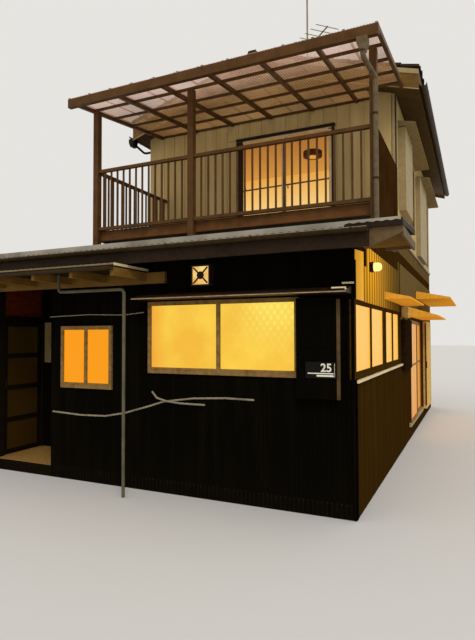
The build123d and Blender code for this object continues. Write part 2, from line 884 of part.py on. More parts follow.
def fittings():
    x0 = right - lantern_offset - lantern_size
    top = lantern_bottom + lantern_size
    shell = block(x0, x0 + lantern_size, front - lantern_depth, front, lantern_bottom, top)
    rim = block(
        x0 + lantern_bar,
        x0 + lantern_size - lantern_bar,
        front - lantern_depth,
        front - lantern_depth + lantern_bar,
        lantern_bottom + lantern_bar,
        top - lantern_bar,
    )
    save("lantern_case", shell - rim)
    case_face = front - front_case[2]
    plate_left = right - plate_offset - plate_width
    save(
        "house_number_plate",
        block(
            plate_left,
            plate_left + plate_width,
            case_face - plate_thickness,
            case_face,
            plate_bottom,
            plate_bottom + plate_height,
        ),
    )
    lamp_y = front + wall_lamp_offset
    disc = Rot(0, 90, 0) * extrude(Circle(wall_lamp_radius), amount=wall_lamp_base_depth)
    save("wall_lamp_base", Pos(right, lamp_y, wall_lamp_height) * disc)
    glass = revolve(Plane.XZ * make_face(Polyline(*wall_lamp_glass, close=True)), Axis.Z)
    glass_place = Pos(right + wall_lamp_base_depth, lamp_y, wall_lamp_height) * Rot(0, 90, 0)
    save("wall_lamp_globe", glass_place * glass)


def windows():
    frames, panes = [], []
    for kind, opening, face in (
        (front_sash, large_window, front),
        (front_sash, small_window, front),
        (side_sash, side_window_near, right),
        (side_sash, side_window_far, right),
        (back_sash, back_window, back),
    ):
        frame, glass = kind(opening, face)
        frames.append(frame)
        panes.append(glass)
    save("ground_window_frames", *frames)
    save("ground_window_glass", *panes)
    frames, panes = [], []
    for kind, opening, face in (
        (front_sash, balcony_door, upper_front),
        (side_sash, upper_window_near, right),
        (side_sash, upper_window_far, right),
        (back_sash, upper_back_window, back),
    ):
        frame, glass = kind(opening, face)
        frames.append(frame)
        panes.append(glass)
    save("upper_window_frames", *frames)
    save("upper_window_glass", *panes)


os.makedirs("parts", exist_ok=True)
foundation()
ground_floor()
ground_walls()
entry()
upper_storey()
main_roof()
lean_to()
balcony()
terrace_roof()
gutters()
aerial()
porch()
windows()
side_door()
hoods_and_cases()
conduits()
fittings()
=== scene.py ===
import math
from functools import partial
import bmesh
import bpy
from mathutils import Matrix, Vector


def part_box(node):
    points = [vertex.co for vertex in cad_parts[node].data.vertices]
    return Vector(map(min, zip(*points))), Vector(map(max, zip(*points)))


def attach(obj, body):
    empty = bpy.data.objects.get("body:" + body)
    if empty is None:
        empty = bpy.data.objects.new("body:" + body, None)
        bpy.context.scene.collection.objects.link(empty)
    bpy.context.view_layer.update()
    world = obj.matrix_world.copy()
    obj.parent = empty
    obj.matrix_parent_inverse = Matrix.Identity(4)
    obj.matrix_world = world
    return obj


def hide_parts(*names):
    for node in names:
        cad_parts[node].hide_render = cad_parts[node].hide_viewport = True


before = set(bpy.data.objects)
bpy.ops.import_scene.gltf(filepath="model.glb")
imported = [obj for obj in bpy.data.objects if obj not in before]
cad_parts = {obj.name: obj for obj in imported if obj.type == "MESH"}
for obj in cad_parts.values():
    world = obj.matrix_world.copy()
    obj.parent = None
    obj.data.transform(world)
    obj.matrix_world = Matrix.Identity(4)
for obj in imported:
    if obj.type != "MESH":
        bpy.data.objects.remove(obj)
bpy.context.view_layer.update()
print("frame loaded,", len(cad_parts), "nodes")

# faces of the outer walls in metres: the street front faces -Y and the passage side faces +X
left, right, front, back = -2.73, 2.73, -4.095, 4.095
upperLeft, upperFront = -1.365, -1.365
roof = {"ridge": 0.6825, "half": 2.0475, "top": 5.305, "under": 5.07, "slope": 0.3}


def deselectAll():
    if bpy.context.mode != "OBJECT":
        bpy.ops.object.mode_set(mode="OBJECT")
    bpy.ops.object.select_all(action="DESELECT")


def pick(*pieces):
    deselectAll()
    for piece in pieces:
        piece.select_set(True)
    bpy.context.view_layer.objects.active = pieces[0]


def setPlace(piece):
    pick(piece)
    bpy.ops.object.transform_apply(location=True, rotation=True, scale=True)
    return piece


def slab(low, high, bevel=0.0):
    # a board between two corners, its edges eased
    deselectAll()
    bpy.ops.mesh.primitive_cube_add(size=1, location=[(a + b) / 2 for a, b in zip(low, high)])
    piece = bpy.context.active_object
    piece.scale = [b - a for a, b in zip(low, high)]
    setPlace(piece)
    if bevel:
        bpy.ops.object.mode_set(mode="EDIT")
        bpy.ops.mesh.select_all(action="SELECT")
        bpy.ops.mesh.bevel(offset=bevel, segments=2, affect="EDGES")
        bpy.ops.object.mode_set(mode="OBJECT")
    return piece


def rod(start, end, radius, sides=20):
    # a round bar between two points
    deselectAll()
    start, end = Vector(start), Vector(end)
    bpy.ops.mesh.primitive_cylinder_add(vertices=sides, radius=radius, depth=(end - start).length,
                                        location=(start + end) / 2)
    piece = bpy.context.active_object
    piece.rotation_euler = (end - start).to_track_quat("Z", "Y").to_euler()
    setPlace(piece)
    bpy.ops.object.shade_smooth_by_angle(angle=math.radians(40))
    return piece


def copyOf(piece, turn):
    twin = bpy.data.objects.new(piece.name, piece.data.copy())
    bpy.context.scene.collection.objects.link(twin)
    twin.data.transform(turn)
    return twin


def remove(piece):
    bpy.data.objects.remove(piece, do_unlink=True)


def bend(piece, change):
    # moves each corner of a piece by a rule
    for corner in piece.data.vertices:
        corner.co = change(corner.co.copy())
    piece.data.update()
    return piece


def lift(piece, height):
    # raises each corner by a height worked out from its place
    for corner in piece.data.vertices:
        corner.co.z += height(corner.co)
    piece.data.update()
    return piece


def thicken(piece, thickness, offset=1.0):
    pick(piece)
    thick = piece.modifiers.new("sheet", "SOLIDIFY")
    thick.thickness, thick.offset = thickness, offset
    bpy.ops.object.modifier_apply(modifier="sheet")
    return piece


def finished(name, parts, material, body="house"):
    # joins the parts into one named piece that rides on its body
    pick(*parts)
    if len(parts) > 1:
        bpy.ops.object.join()
    piece = bpy.context.active_object
    piece.name = name
    piece.data.name = name
    setPlace(piece)
    piece.data.materials.clear()
    piece.data.materials.append(material)
    for face in piece.data.polygons:
        face.material_index = 0
    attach(piece, body)
    return piece


def looseBoxes(nodeName):
    # lowest and highest corner of each solid of a CAD node
    mesh = bmesh.new()
    mesh.from_mesh(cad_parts[nodeName].data)
    bmesh.ops.remove_doubles(mesh, verts=mesh.verts, dist=1e-5)
    seen, boxes = set(), []
    for first in mesh.verts:
        if first in seen:
            continue
        seen.add(first)
        island = [first]
        for corner in island:
            for link in corner.link_edges:
                other = link.other_vert(corner)
                if other not in seen:
                    seen.add(other)
                    island.append(other)
        places = [corner.co for corner in island]
        boxes.append([Vector([end(place[i] for place in places) for i in range(3)]) for end in (min, max)])
    mesh.free()
    return boxes


def linear(hexColour):
    channels = [int(hexColour[i : i + 2], 16) / 255 for i in (1, 3, 5)]
    return tuple([c / 12.92 if c <= 0.04045 else ((c + 0.055) / 1.055) ** 2.4 for c in channels] + [1.0])


def setInputs(node, inputs):
    # an input is a number, a hex colour or another node's output
    for key, value in inputs.items():
        if isinstance(value, bpy.types.NodeSocket):
            node.id_data.links.new(value, node.inputs[key])
        else:
            node.inputs[key].default_value = linear(value) if isinstance(value, str) else value


def addNode(tree, kind, inputs=(), out=0, **settings):
    # gives the new node's output; inputs come by name, or as a list in the node's own order, for MapRange
    # the value, from where to where and to what; each Mix node mixes two colours by a share
    made = tree.nodes.new("ShaderNode" + kind)
    for key, value in settings.items():
        setattr(made, key, value)
    if kind == "Mix":
        made.data_type, out = "RGBA", 2
        inputs = dict(zip((0, 6, 7), inputs))
    elif not isinstance(inputs, dict):
        inputs = dict(enumerate(inputs))
    setInputs(made, inputs)
    return made.outputs[out]


def startMaterial(name, values):
    material = bpy.data.materials.new(name)
    material.use_nodes = True
    shader = material.node_tree.nodes["Principled BSDF"]
    setInputs(shader, values)
    add = partial(addNode, material.node_tree)
    return material, shader, add, add("TexCoord", out="Object")


def dress(material, *names):
    for name in names:
        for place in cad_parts[name].material_slots:
            place.material = material


# where the wall lamp hangs, and how far its light warms the wall
wallLamp = {"place": (2.84, -3.345, 2.38), "reach": 2.6, "warmth": "#ffae1c", "fall": 2.6}
unlit = (0, 0, 0, 1)


def bakedSteel(name, face, faded, dust, roughness=0.6, lampLit=0.0, grooves=None):
    # baked enamel on thin sheet steel: chalky runs down the sheet, dust thrown up near the ground;
    # grooves: where the ribs start along Y and their pitch, for painted shade in the valleys between them
    material, shader, add, place = startMaterial(name, {"Specular IOR Level": 0.0})
    drawn = add("Mapping", {"Vector": place, "Scale": (1, 1, 0.08)})
    runs = add("TexNoise", {"Vector": drawn, "Scale": 8.0, "Detail": 4.0})
    spots = add("TexNoise", {"Vector": place, "Scale": 50.0, "Detail": 4.0})
    height = add("SeparateXYZ", {"Vector": place}, "Z")
    low = add("MapRange", [height, 0.02, 0.6, 0.7, 0.0])
    splash = add("Math", [low, spots], operation="MULTIPLY")
    chalk = add("MapRange", [runs, 0.45, 0.75])
    chalky = add("Mix", [chalk, face, faded])
    colour = add("Mix", [splash, chalky, dust])
    grooveShade = 0.0
    # painted shade in the valleys between the ribs, where the painted lamp glow is taken away as well
    if grooves:
        start, pitch = grooves
        along = add("SeparateXYZ", {"Vector": place}, "Y")
        steps = add("Math", [along, start], operation="SUBTRACT")
        steps = add("Math", [steps, pitch], operation="DIVIDE")
        share = add("Math", [steps], operation="FRACT")
        side = add("Math", [share, 0.5], operation="SUBTRACT")
        side = add("Math", [side], operation="ABSOLUTE")
        grooveShade = add("MapRange", [side, 0.22, 0.36, 0.0, 0.9])
        colour = add("Mix", [grooveShade, colour, "#1c1204"])
    # the wall lamp's light painted on as a glow that fades with distance
    if lampLit:
        away = add("VectorMath", [place, wallLamp["place"]], "Value", operation="DISTANCE")
        near = add("MapRange", [away, 0.12, wallLamp["reach"], 1.0, 0.0])
        glow = add("Math", [near, wallLamp["fall"]], operation="POWER")
        lit = add("Mix", [glow, unlit, wallLamp["warmth"]])
        lit = add("Mix", [grooveShade, lit, unlit])
        setInputs(shader, {"Emission Color": lit, "Emission Strength": lampLit})
    setInputs(shader, {
        "Base Color": colour,
        "Roughness": add("MapRange", [spots, 0.0, 1.0, roughness - 0.12, roughness + 0.18]),
        "Normal": add("Bump", {"Height": spots, "Distance": 0.0008}),
    })
    return material


def paintCoat(name, face, worn, roughness=0.5, metallic=0.0, grain=0.06, depth=0.0008, gloss=0.1):
    # an even coat with slow patches of fading, small marks where it has chalked, and a fine tooth
    material, shader, add, place = startMaterial(name, {"Metallic": metallic, "Specular IOR Level": gloss})
    slow = add("TexNoise", {"Vector": place, "Scale": 0.25 / grain, "Detail": 4.0})
    fine = add("TexNoise", {"Vector": place, "Scale": 1 / grain, "Detail": 6.0})
    share = add("Math", [slow, fine], operation="MULTIPLY")
    marks = add("MapRange", [share, 0.15, 0.45])
    setInputs(shader, {
        "Base Color": add("Mix", [marks, face, worn]),
        "Roughness": add("MapRange", [fine, 0.0, 1.0, roughness - 0.1, roughness + 0.12]),
        "Normal": add("Bump", {"Height": fine, "Distance": depth}),
    })
    return material


def sawnTimber(name, light, dark, stretch):
    # planed boards: grain about 6 mm wide, drawn out along the board
    material, shader, add, place = startMaterial(name, {"Roughness": 0.65, "Specular IOR Level": 0.1})
    drawn = add("Mapping", {"Vector": place, "Scale": stretch})
    grain = add("TexNoise", {"Vector": drawn, "Scale": 160.0, "Detail": 3.0})
    slow = add("TexNoise", {"Vector": place, "Scale": 5.0, "Detail": 4.0})
    lines = add("MapRange", [grain, 0.35, 0.65])
    patches = add("MapRange", [slow, 0.35, 0.8])
    tone = add("Mix", [lines, light, dark])
    setInputs(shader, {
        "Base Color": add("Mix", [patches, tone, dark]),
        "Normal": add("Bump", {"Height": grain, "Distance": 0.0006}),
    })
    return material


def litGlass(name, bright, deep, glow, spot, stretch=(1, 1, 1)):
    # figured float glass with lamps behind it: small pressed figures, slow bright and deep patches
    material, shader, add, place = startMaterial(name, {"Roughness": 0.35, "Specular IOR Level": 0.15})
    drawn = add("Mapping", {"Vector": place, "Scale": stretch})
    figure = add("TexVoronoi", {"Vector": place, "Scale": 1 / spot}, "Distance")
    slow = add("TexNoise", {"Vector": drawn, "Scale": 2.0, "Detail": 2.0})
    share = add("MapRange", [slow, 0.3, 0.7])
    setInputs(shader, {
        "Base Color": "#3a2606",
        "Emission Color": add("Mix", [share, deep, bright]),
        "Emission Strength": glow,
        "Normal": add("Bump", {"Height": figure, "Distance": 0.002}),
    })
    return material


def frontPanes(name):
    # patterned glass of the ground floor, its glow the room's light painted on: yellow in the wide window,
    # orange in the small one, brightest high on the right, a painted patch of lamplight; the diamond figure
    # is 60 mm across, drawn coarser than the real 8 mm so that it shows
    material, shader, add, place = startMaterial(name, {"Roughness": 0.3, "Specular IOR Level": 0.15})
    x = add("SeparateXYZ", {"Vector": place}, "X")
    y = add("SeparateXYZ", {"Vector": place}, "Y")
    small = add("MapRange", [x, 0.1, 0.3, 1.0, 0.0])
    edge = add("MapRange", [x, 0.52, 0.72, 0.75, 0.0])
    slow = add("TexNoise", {"Vector": place, "Scale": 2.5, "Detail": 3.0})
    patches = add("MapRange", [slow, 0.35, 0.65])
    yellow = add("Mix", [patches, "#f6bd3c", "#ffd24a"])
    yellow = add("Mix", [edge, yellow, "#f5a034"])
    bands = []
    for turn in (35, -35):
        turned = add("Mapping", {"Vector": place, "Rotation": (0, math.radians(turn), 0)})
        bands.append(add("TexWave", {"Vector": turned, "Scale": 5.2, "Distortion": 0.6}, "Fac"))
    figure = add("Math", [bands[0], bands[1]], operation="MULTIPLY")
    # the room's lamp painted on as a bright patch high on the right
    away = add("VectorMath", [place, (1.95, -4.1, 1.98)], "Value", operation="DISTANCE")
    lamp = add("MapRange", [away, 0.05, 0.62, 1.0, 0.0])
    shine = add("Math", [lamp, figure, 0.5], operation="MULTIPLY_ADD")
    half = add("Math", [shine, lamp], operation="MULTIPLY")
    yellow = add("Mix", [half, yellow, "#ffec6a"])
    tone = add("Mix", [small, yellow, "#fd9c08"])
    atSide = add("Math", [x, 2.6], operation="GREATER_THAN")
    atBack = add("Math", [y, 0.0], operation="GREATER_THAN")
    elsewhere = add("Math", [atSide, atBack], operation="MAXIMUM")
    cells = add("TexVoronoi", {"Vector": place, "Scale": 40.0}, "Distance")
    setInputs(shader, {
        "Base Color": "#3a2606",
        "Emission Color": add("Mix", [elsewhere, tone, "#fab83b"]),
        "Emission Strength": 0.94,
        "Normal": add("Bump", {"Height": cells, "Distance": 0.002}),
    })
    return material


def twoCoats(name, first, second, borders, roughness=0.7, spot=0.05):
    # one node with two coats: the second begins past any of the borders, an axis and a place in metres
    material, shader, add, place = startMaterial(name, {"Specular IOR Level": 0.0, "Roughness": roughness})
    past = 0.0
    for axis, border in borders:
        along = add("SeparateXYZ", {"Vector": place}, axis)
        step = add("Math", [along, border], operation="GREATER_THAN")
        past = add("Math", [past, step], operation="MAXIMUM")
    fine = add("TexNoise", {"Vector": place, "Scale": 1 / spot, "Detail": 5.0})
    marks = add("MapRange", [fine, 0.4, 0.7])
    tones = [add("Mix", [marks, pair[0], pair[1]])
             for pair in (first, second)]
    setInputs(shader, {
        "Base Color": add("Mix", [past, tones[0], tones[1]]),
        "Normal": add("Bump", {"Height": fine, "Distance": 0.001}),
    })
    return material


def rainGoods(name, trough, pipe, head):
    # moulded rain plastic, satin and chalky: brown troughs, a grey pipe at the balcony and a black head
    material, shader, add, place = startMaterial(name, {"Roughness": 0.5, "Specular IOR Level": 0.1})
    x, y, z = [add("SeparateXYZ", {"Vector": place}, axis) for axis in "XYZ"]
    fine = add("TexNoise", {"Vector": place, "Scale": 16.0, "Detail": 5.0})
    chalk = add("MapRange", [fine, 0.4, 0.7])
    brown, grey, black = [add("Mix", [chalk, pair[0], pair[1]])
                          for pair in (trough, pipe, head)]
    atPost = add("Math", [y, -3.1, 0.9], operation="COMPARE")
    atEave = add("Math", [y, -2.0], operation="GREATER_THAN")
    for axis, limit in ((x, -1.3), (z, 5.0246)):
        below = add("Math", [axis, limit], operation="LESS_THAN")
        atEave = add("Math", [atEave, below], operation="MULTIPLY")
    colour = add("Mix", [atPost, brown, grey])
    setInputs(shader, {
        "Base Color": add("Mix", [atEave, colour, black]),
        "Normal": add("Bump", {"Height": fine, "Distance": 0.0005}),
    })
    return material


def hoodCoat(name, lower, upper, border):
    # enamel on the hoods: greige on the upper floor and on top, amber under the low ones from the lamps
    material = twoCoats(name, lower, upper, [("Z", border)])
    shader = material.node_tree.nodes["Principled BSDF"]
    add = partial(addNode, material.node_tree)
    height = add("SeparateXYZ", {"Vector": add("TexCoord", out="Object")}, "Z")
    upward = add("SeparateXYZ", {"Vector": add("TexCoord", out="Normal")}, "Z")
    above = add("Math", [height, border], operation="GREATER_THAN")
    onTop = add("Math", [upward, 0.5], operation="GREATER_THAN")
    dark = add("Math", [above, onTop], operation="MAXIMUM")
    enamel = shader.inputs["Base Color"].links[0].from_socket
    setInputs(shader, {
        "Base Color": add("Mix", [onTop, enamel, upper[0]]),
        "Emission Color": add("Mix", [dark, "#ffab2c", unlit]),
        "Emission Strength": 0.25,
    })
    return material


# black enamel of the street front: swallows the light, so that its ribs barely show
blackSteel = bakedSteel("bakedBlackCladding", "#0b0905", "#120f09", "#120f09", 0.7)
dress(blackSteel, "front_wall", "recess_side_wall", "recess_back_wall", "left_front_wall",
      "front_shutter_case")
# dark brown enamel of the low side walls, dull and a little faded in runs
sideSteel = bakedSteel("bakedBrownCladding", "#352308", "#402b0d", "#3a280e", 0.7)
dress(sideSteel, "left_wall", "back_wall", "right_wall_near", "right_wall_at_door", "right_wall_far")
# taupe ribs by the wall lamp: the lamp's light painted on as a golden glow next to it, brown further on, with
# painted shade in the grooves
ribSteel = bakedSteel("bakedTaupeRibs", "#665026", "#745d30", "#5a4628", 0.7, lampLit=0.85,
                      grooves=(-3.715, 0.14))
# the same taupe further down the passage, where the lamp hardly reaches
farSteel = bakedSteel("bakedTaupeCladding", "#6b5632", "#7a643d", "#5a4628", lampLit=0.5)
# greige siding of the upper floor, warm and matt
greigeSteel = bakedSteel("bakedGreigeCladding", "#bca26c", "#cdb37f", "#a58c5c")
dress(greigeSteel, "upper_front_wall", "upper_back_wall", "upper_right_wall", "upper_left_wall")
# smooth sheet at the corner, the brightest patch of lamplight on the wall
cornerSteel = bakedSteel("smoothCornerSheet", "#9a8040", "#a98e4c", "#7c6128", lampLit=0.95)
# folded steel, nearly black-brown, that frames the openings
trimSteel = paintCoat("foldedTrimSheet", "#2b1d0f", "#38281a", 0.45)
dress(trimSteel, "front_window_hood", "lantern_case", "wall_lamp_base")
# hoods that glow amber from below and look plain greige from above
dress(hoodCoat("paleFoldedHood", ("#d99a38", "#c0852e"), ("#8e7c56", "#7b6a48"), 3.0),
      "side_hoods", "rear_canopy")
# faded cream paint, slightly chalky
creamSteel = paintCoat("creamFoldedSheet", "#9a8760", "#ab976c", 0.5)
dress(creamSteel, "upper_shutter_cases")
# brown paint gone dull on the eave's return
returnPaint = paintCoat("brownEaveReturn", "#6b5639", "#5a462c", 0.6)
dress(returnPaint, "corner_return_box")
# anodised bronze of the rails and posts: a soft brown sheen
bronzeAluminium = paintCoat("bronzeAnodisedAluminium", "#5c3d1e", "#482f15", 0.45, grain=0.1, depth=0.0002)
dress(bronzeAluminium, "balcony_railings", "terrace_posts", "terrace_roof_frame")
# lighter bronze paint on the balcony's front board
dress(paintCoat("bronzePaintedBoard", "#6f4720", "#573615", 0.5, grain=0.12, depth=0.0003), "balcony_fascia")
# stained gable boards, honey brown and uneven
dress(paintCoat("stainedBargeBoard", "#6f5224", "#5a4019", 0.6, grain=0.08), "bargeboards")
# dark brown screen at the balcony's side, flat and without shine
dress(paintCoat("brownScreenSheet", "#3c260f", "#2e1c0a", 0.6, grain=0.2, gloss=0.0), "balcony_side_panel")
# plain aluminium, weathered to a warm grey
silverAluminium = paintCoat("anodisedAluminium", "#8d7a55", "#776546", 0.4, 0.2, grain=0.08, depth=0.0002)
dress(silverAluminium, "upper_window_frames", "roof_aerial")
# sashes: warm grey in front, painted nearly black with shade at the side and back against the lit panes
sashPaint = twoCoats("sashAluminium", ("#8a6d3f", "#6f5530"), ("#45300f", "#352409"),
                     [("X", 2.62), ("Y", 0.0)])
dress(sashPaint, "ground_window_frames")
# pale aluminium, the room's light that it catches painted into its colour as a highlight
litAluminium = paintCoat("litPaleAluminium", "#e6d2a4", "#d0b98a", 0.4, 0.1, grain=0.08, depth=0.0002)
# sliding door's frame: a pale sill where light is painted on, dark jambs and head with painted shade
dress(twoCoats("sideDoorAluminium", ("#b5a27c", "#98855f"), ("#4a3110", "#38240a"), [("Z", 0.27)]),
      "side_door_frame")
# door leaves, amber from the lamps behind them
dress(paintCoat("amberLitLeafAluminium", "#8a5f22", "#6f4a18", 0.45, 0.1, grain=0.08, depth=0.0002),
      "side_door_near_leaf", "side_door_far_leaf")
# concrete: almost black at the foot, painted shade where it shows between the cladding's ribs; sandy on top
# of the entrance step
dress(twoCoats("castConcrete", ("#120f09", "#1a150c"), ("#a07b42", "#876333"), [("Z", 0.1295)], 0.9, 0.03),
      "foundation")
# zinc-coated sheet gone dull, cloudy grey
roofSteel = paintCoat("galvanisedRoofSheet", "#95918a", "#716b60", 0.45, 0.2, grain=0.12)
# smoked clay: brown-black, pitted, slightly rough
kilnTile = paintCoat("smokedClayTile", "#37291a", "#241a10", 0.6, grain=0.05, depth=0.0015)
dress(kilnTile, "roof_ridge", "side_strip_roof")
# stained boards under the eaves, a warm mid brown
dress(paintCoat("stainedSoffitBoard", "#55401e", "#423013", 0.6, grain=0.05), "roof_right", "roof_left")
# eave boards stained almost black
dress(paintCoat("stainedEaveBoard", "#2c1e10", "#20150a", 0.6, grain=0.05),
      "lean_to_front_board", "porch_roof", "lean_to_roof")
# bare rafters weathered to tan, their grain along Y
dress(sawnTimber("weatheredRafterTimber", "#8f6c32", "#6b4c1e", (1, 0.08, 1)), "porch_frame")
# entrance door and posts, stained nearly black with upright grain
dress(sawnTimber("stainedDoorTimber", "#1c1207", "#120b04", (1, 1, 0.08)), "entry_posts", "entry_door_leaf")
# floor boards, warm brown, their grain along X
dress(sawnTimber("floorBoard", "#8a6239", "#6e4c2b", (0.08, 1, 1)), "ground_floor")
# floor boards inside, taupe where the floor's edge shows in the wall
dress(twoCoats("floorBoardAndBelt", ("#8a6239", "#6e4c2b"), ("#6b5632", "#5a4628"),
               [("X", 2.72), ("Y", 4.09)]), "upper_floor")
# deck boards, dusty grey-brown
dress(paintCoat("ribbedDeckBoard", "#5a5044", "#463d32", 0.7), "balcony_deck")
# rain goods: brown troughs, the grey-brown pipe at the balcony, a black head at the left eave
dress(rainGoods("mouldedRainPlastic", ("#3a2a14", "#2c1f0d"), ("#6a5a40", "#564730"), ("#15110c", "#1e1812")),
      "roof_gutters")
# cases on the side wall: dark brown, but sandy cream for the meter box and the case over the door
dress(twoCoats("sheetSteelCases", ("#22150a", "#2e1f10"), ("#e0bd72", "#c49f58"), [("Z", 1.915), ("Y", 1.5)]),
      "side_wall_cases")
# panel over the entrance: rust red above its dark rail
dress(twoCoats("oxideRedTransomPanel", ("#1c1207", "#120b04"), ("#6b2a0c", "#521f08"), [("Z", 1.93)], 0.6),
      "entry_head")
# drain pipe, a dull olive grey
dress(paintCoat("greyPipePlastic", "#635d49", "#4f4a39", 0.5), "porch_drain_pipe")
# conduit, paler and yellowed
conduitPlastic = paintCoat("conduitPlastic", "#948a72", "#786e58", 0.5)
dress(conduitPlastic, "wall_conduits")
# ground-floor panes with the room's lamps behind them
dress(frontPanes("figuredPaneWithRoomLight"), "ground_window_glass")
# sliding door's panes: amber curtain folds behind figured glass, the room's light painted on as a glow
dress(litGlass("curtainBehindPane", "#f0a83c", "#b8701a", 0.9, 0.08, (1, 9, 0.15)),
      "side_door_near_glass", "side_door_far_glass")
# entrance door's panes, dim olive with no lamp behind, given a faint painted glow
dress(litGlass("unlitDoorPane", "#3a2c0e", "#1d1608", 0.1, 0.05), "entry_door_glass")
# opal glass of the wall lamp, almost white
dress(litGlass("opalLampGlass", "#fff3b0", "#ffd766", 1.3, 0.05), "wall_lamp_globe")
# lantern's opal pane, cream with amber clouds
lanternGlass = litGlass("opalLanternPane", "#ffdf90", "#e2a244", 0.95, 0.04, (4, 4, 4))
# ceiling lamp's disc, soft amber
shadeGlow = litGlass("amberShadeGlow", "#ffc257", "#f09a28", 0.95, 0.04)
# number plate, black enamel
dress(paintCoat("enamelNumberPlate", "#0c0a06", "#12100b", 0.4), "house_number_plate")
# its digits and lines, warm white
whiteEnamel = paintCoat("whiteEnamel", "#efe9d6", "#dcd5c0", 0.4)
print("CAD nodes dressed")

# wall cladding: strips cut round the windows, cases and hoods
claddingStops = []
for stopNode in ("ground_window_frames", "upper_window_frames", "side_door_frame", "front_shutter_case",
                 "side_wall_cases", "upper_shutter_cases", "side_hoods", "rear_canopy", "front_window_hood",
                 "lantern_case", "wall_lamp_base", "lean_to_roof", "lean_to_front_board", "corner_return_box",
                 "balcony_side_panel", "porch_roof", "upper_floor"):
    claddingStops += looseBoxes(stopNode)


def claddingPiece(name, facing, face, start, end, low, high, look, material, slot):
    # look: pitch of the strips, their width, how far they stand out and their chamfer
    deselectAll()
    bpy.ops.mesh.primitive_cube_add(size=1, location=(0, 0, 0.5))
    pattern = setPlace(bpy.context.active_object)
    for corner in pattern.data.vertices:
        if corner.co.y < 0:
            corner.co.x *= 1 - 2 * look["chamfer"] / look["width"]
        corner.co.y -= 0.5
    turn = Matrix.Rotation(math.radians({"front": 0, "right": 90, "back": 180, "left": 270}[facing]), 4, "Z")
    flat, out = (0, 1) if facing in ("front", "back") else (1, 0)
    near, far = sorted((face, face + look["depth"] * (-1 if facing in ("front", "left") else 1)))
    half = look["width"] / 2
    strips = []
    for index in range(int((end - start) / look["pitch"] + 0.5)):
        middle = start + look["pitch"] * (index + 0.5)
        if middle + half > end + 0.001 or middle - half < start - 0.001:
            continue
        spans = [(low, high(middle) if callable(high) else high)]
        for lowCorner, highCorner in claddingStops:
            if highCorner[flat] <= middle - half or lowCorner[flat] >= middle + half:
                continue
            if highCorner[out] <= near or lowCorner[out] >= far:
                continue
            cut = []
            for bottom, top in spans:
                if highCorner.z <= bottom or lowCorner.z >= top:
                    cut.append((bottom, top))
                else:
                    cut += [(bottom, lowCorner.z)] * (lowCorner.z > bottom)
                    cut += [(highCorner.z, top)] * (highCorner.z < top)
            spans = cut
        for bottom, top in spans:
            if top - bottom > 0.01:
                place = (middle, face, bottom) if flat == 0 else (face, middle, bottom)
                size = Matrix.Diagonal((look["width"], look["depth"], top - bottom, 1))
                strips.append(copyOf(pattern, Matrix.Translation(place) @ turn @ size))
    remove(pattern)
    return finished(name, strips, material)


def underLeanTo(y):
    return 2.565 + 0.08 * (y + 4.495) - 0.01


def overLeanTo(y):
    return 2.612 + 0.08 * (y + 4.495)


def overTerrace(y):
    return 4.79 + 0.13 * (y + 3.565) + 0.0085


def underRoof(x):
    return roof["under"] + roof["slope"] * (roof["half"] - abs(x - roof["ridge"])) - 0.01


def overRoof(x):
    return roof["top"] + roof["slope"] * (roof["half"] - abs(x - roof["ridge"]))


def underGable(x):
    # a board is cut square at its lower side
    return min(underRoof(x - 0.1), underRoof(x + 0.1))


ribs = {"pitch": 0.0455, "width": 0.03, "depth": 0.007, "chamfer": 0.006}
sideRibs = {"pitch": 0.14, "width": 0.104, "depth": 0.012, "chamfer": 0.014}
wideRibs = {"pitch": 0.099, "width": 0.078, "depth": 0.007, "chamfer": 0.006}
boards = {"pitch": 0.198, "width": 0.186, "depth": 0.009, "chamfer": 0.004}
blackRibs = (ribs, blackSteel, "black_cladding")
brownRibs = (wideRibs, sideSteel, "side_cladding")
greigeBoards = (boards, greigeSteel, "cream_siding")
foot, sill = 0.012, 1.262
for cladding in (
    ("frontWallRibs", "front", front, -0.91, right, foot, 2.55, *blackRibs),
    ("leftFrontRibs", "front", front, left, -1.94, foot, 2.3, *blackRibs),
    ("recessBackRibs", "front", -3.295, -1.82, -0.91, 0.135, 2.6, *blackRibs),
    ("sideLowerRibs", "right", right, front, back, foot, 1.235, *brownRibs),
    ("sideUpperRibs", "right", right, -3.715, -1.075, sill, lambda y: min(underLeanTo(y), 2.85),
     sideRibs, ribSteel, "side_cladding"),
    ("sideUpperBoards", "right", right, -1.06, back, sill, 3.07, boards, farSteel, "side_cladding"),
    ("upperSideBoards", "right", right, upperFront, back, 3.12, 5.05, *greigeBoards),
    ("upperFrontBoards", "front", upperFront, -1.2655, right, 3.105, underGable, *greigeBoards),
    ("upperBackBoards", "back", back, upperLeft, right, 3.105, underGable, *greigeBoards),
    ("upperLeftBoards", "left", upperLeft, upperFront, back, 3.26, 5.05, *greigeBoards),
    ("lowerBackBoards", "back", back, left, right, foot, 2.85, *brownRibs),
):
    claddingPiece(*cladding)

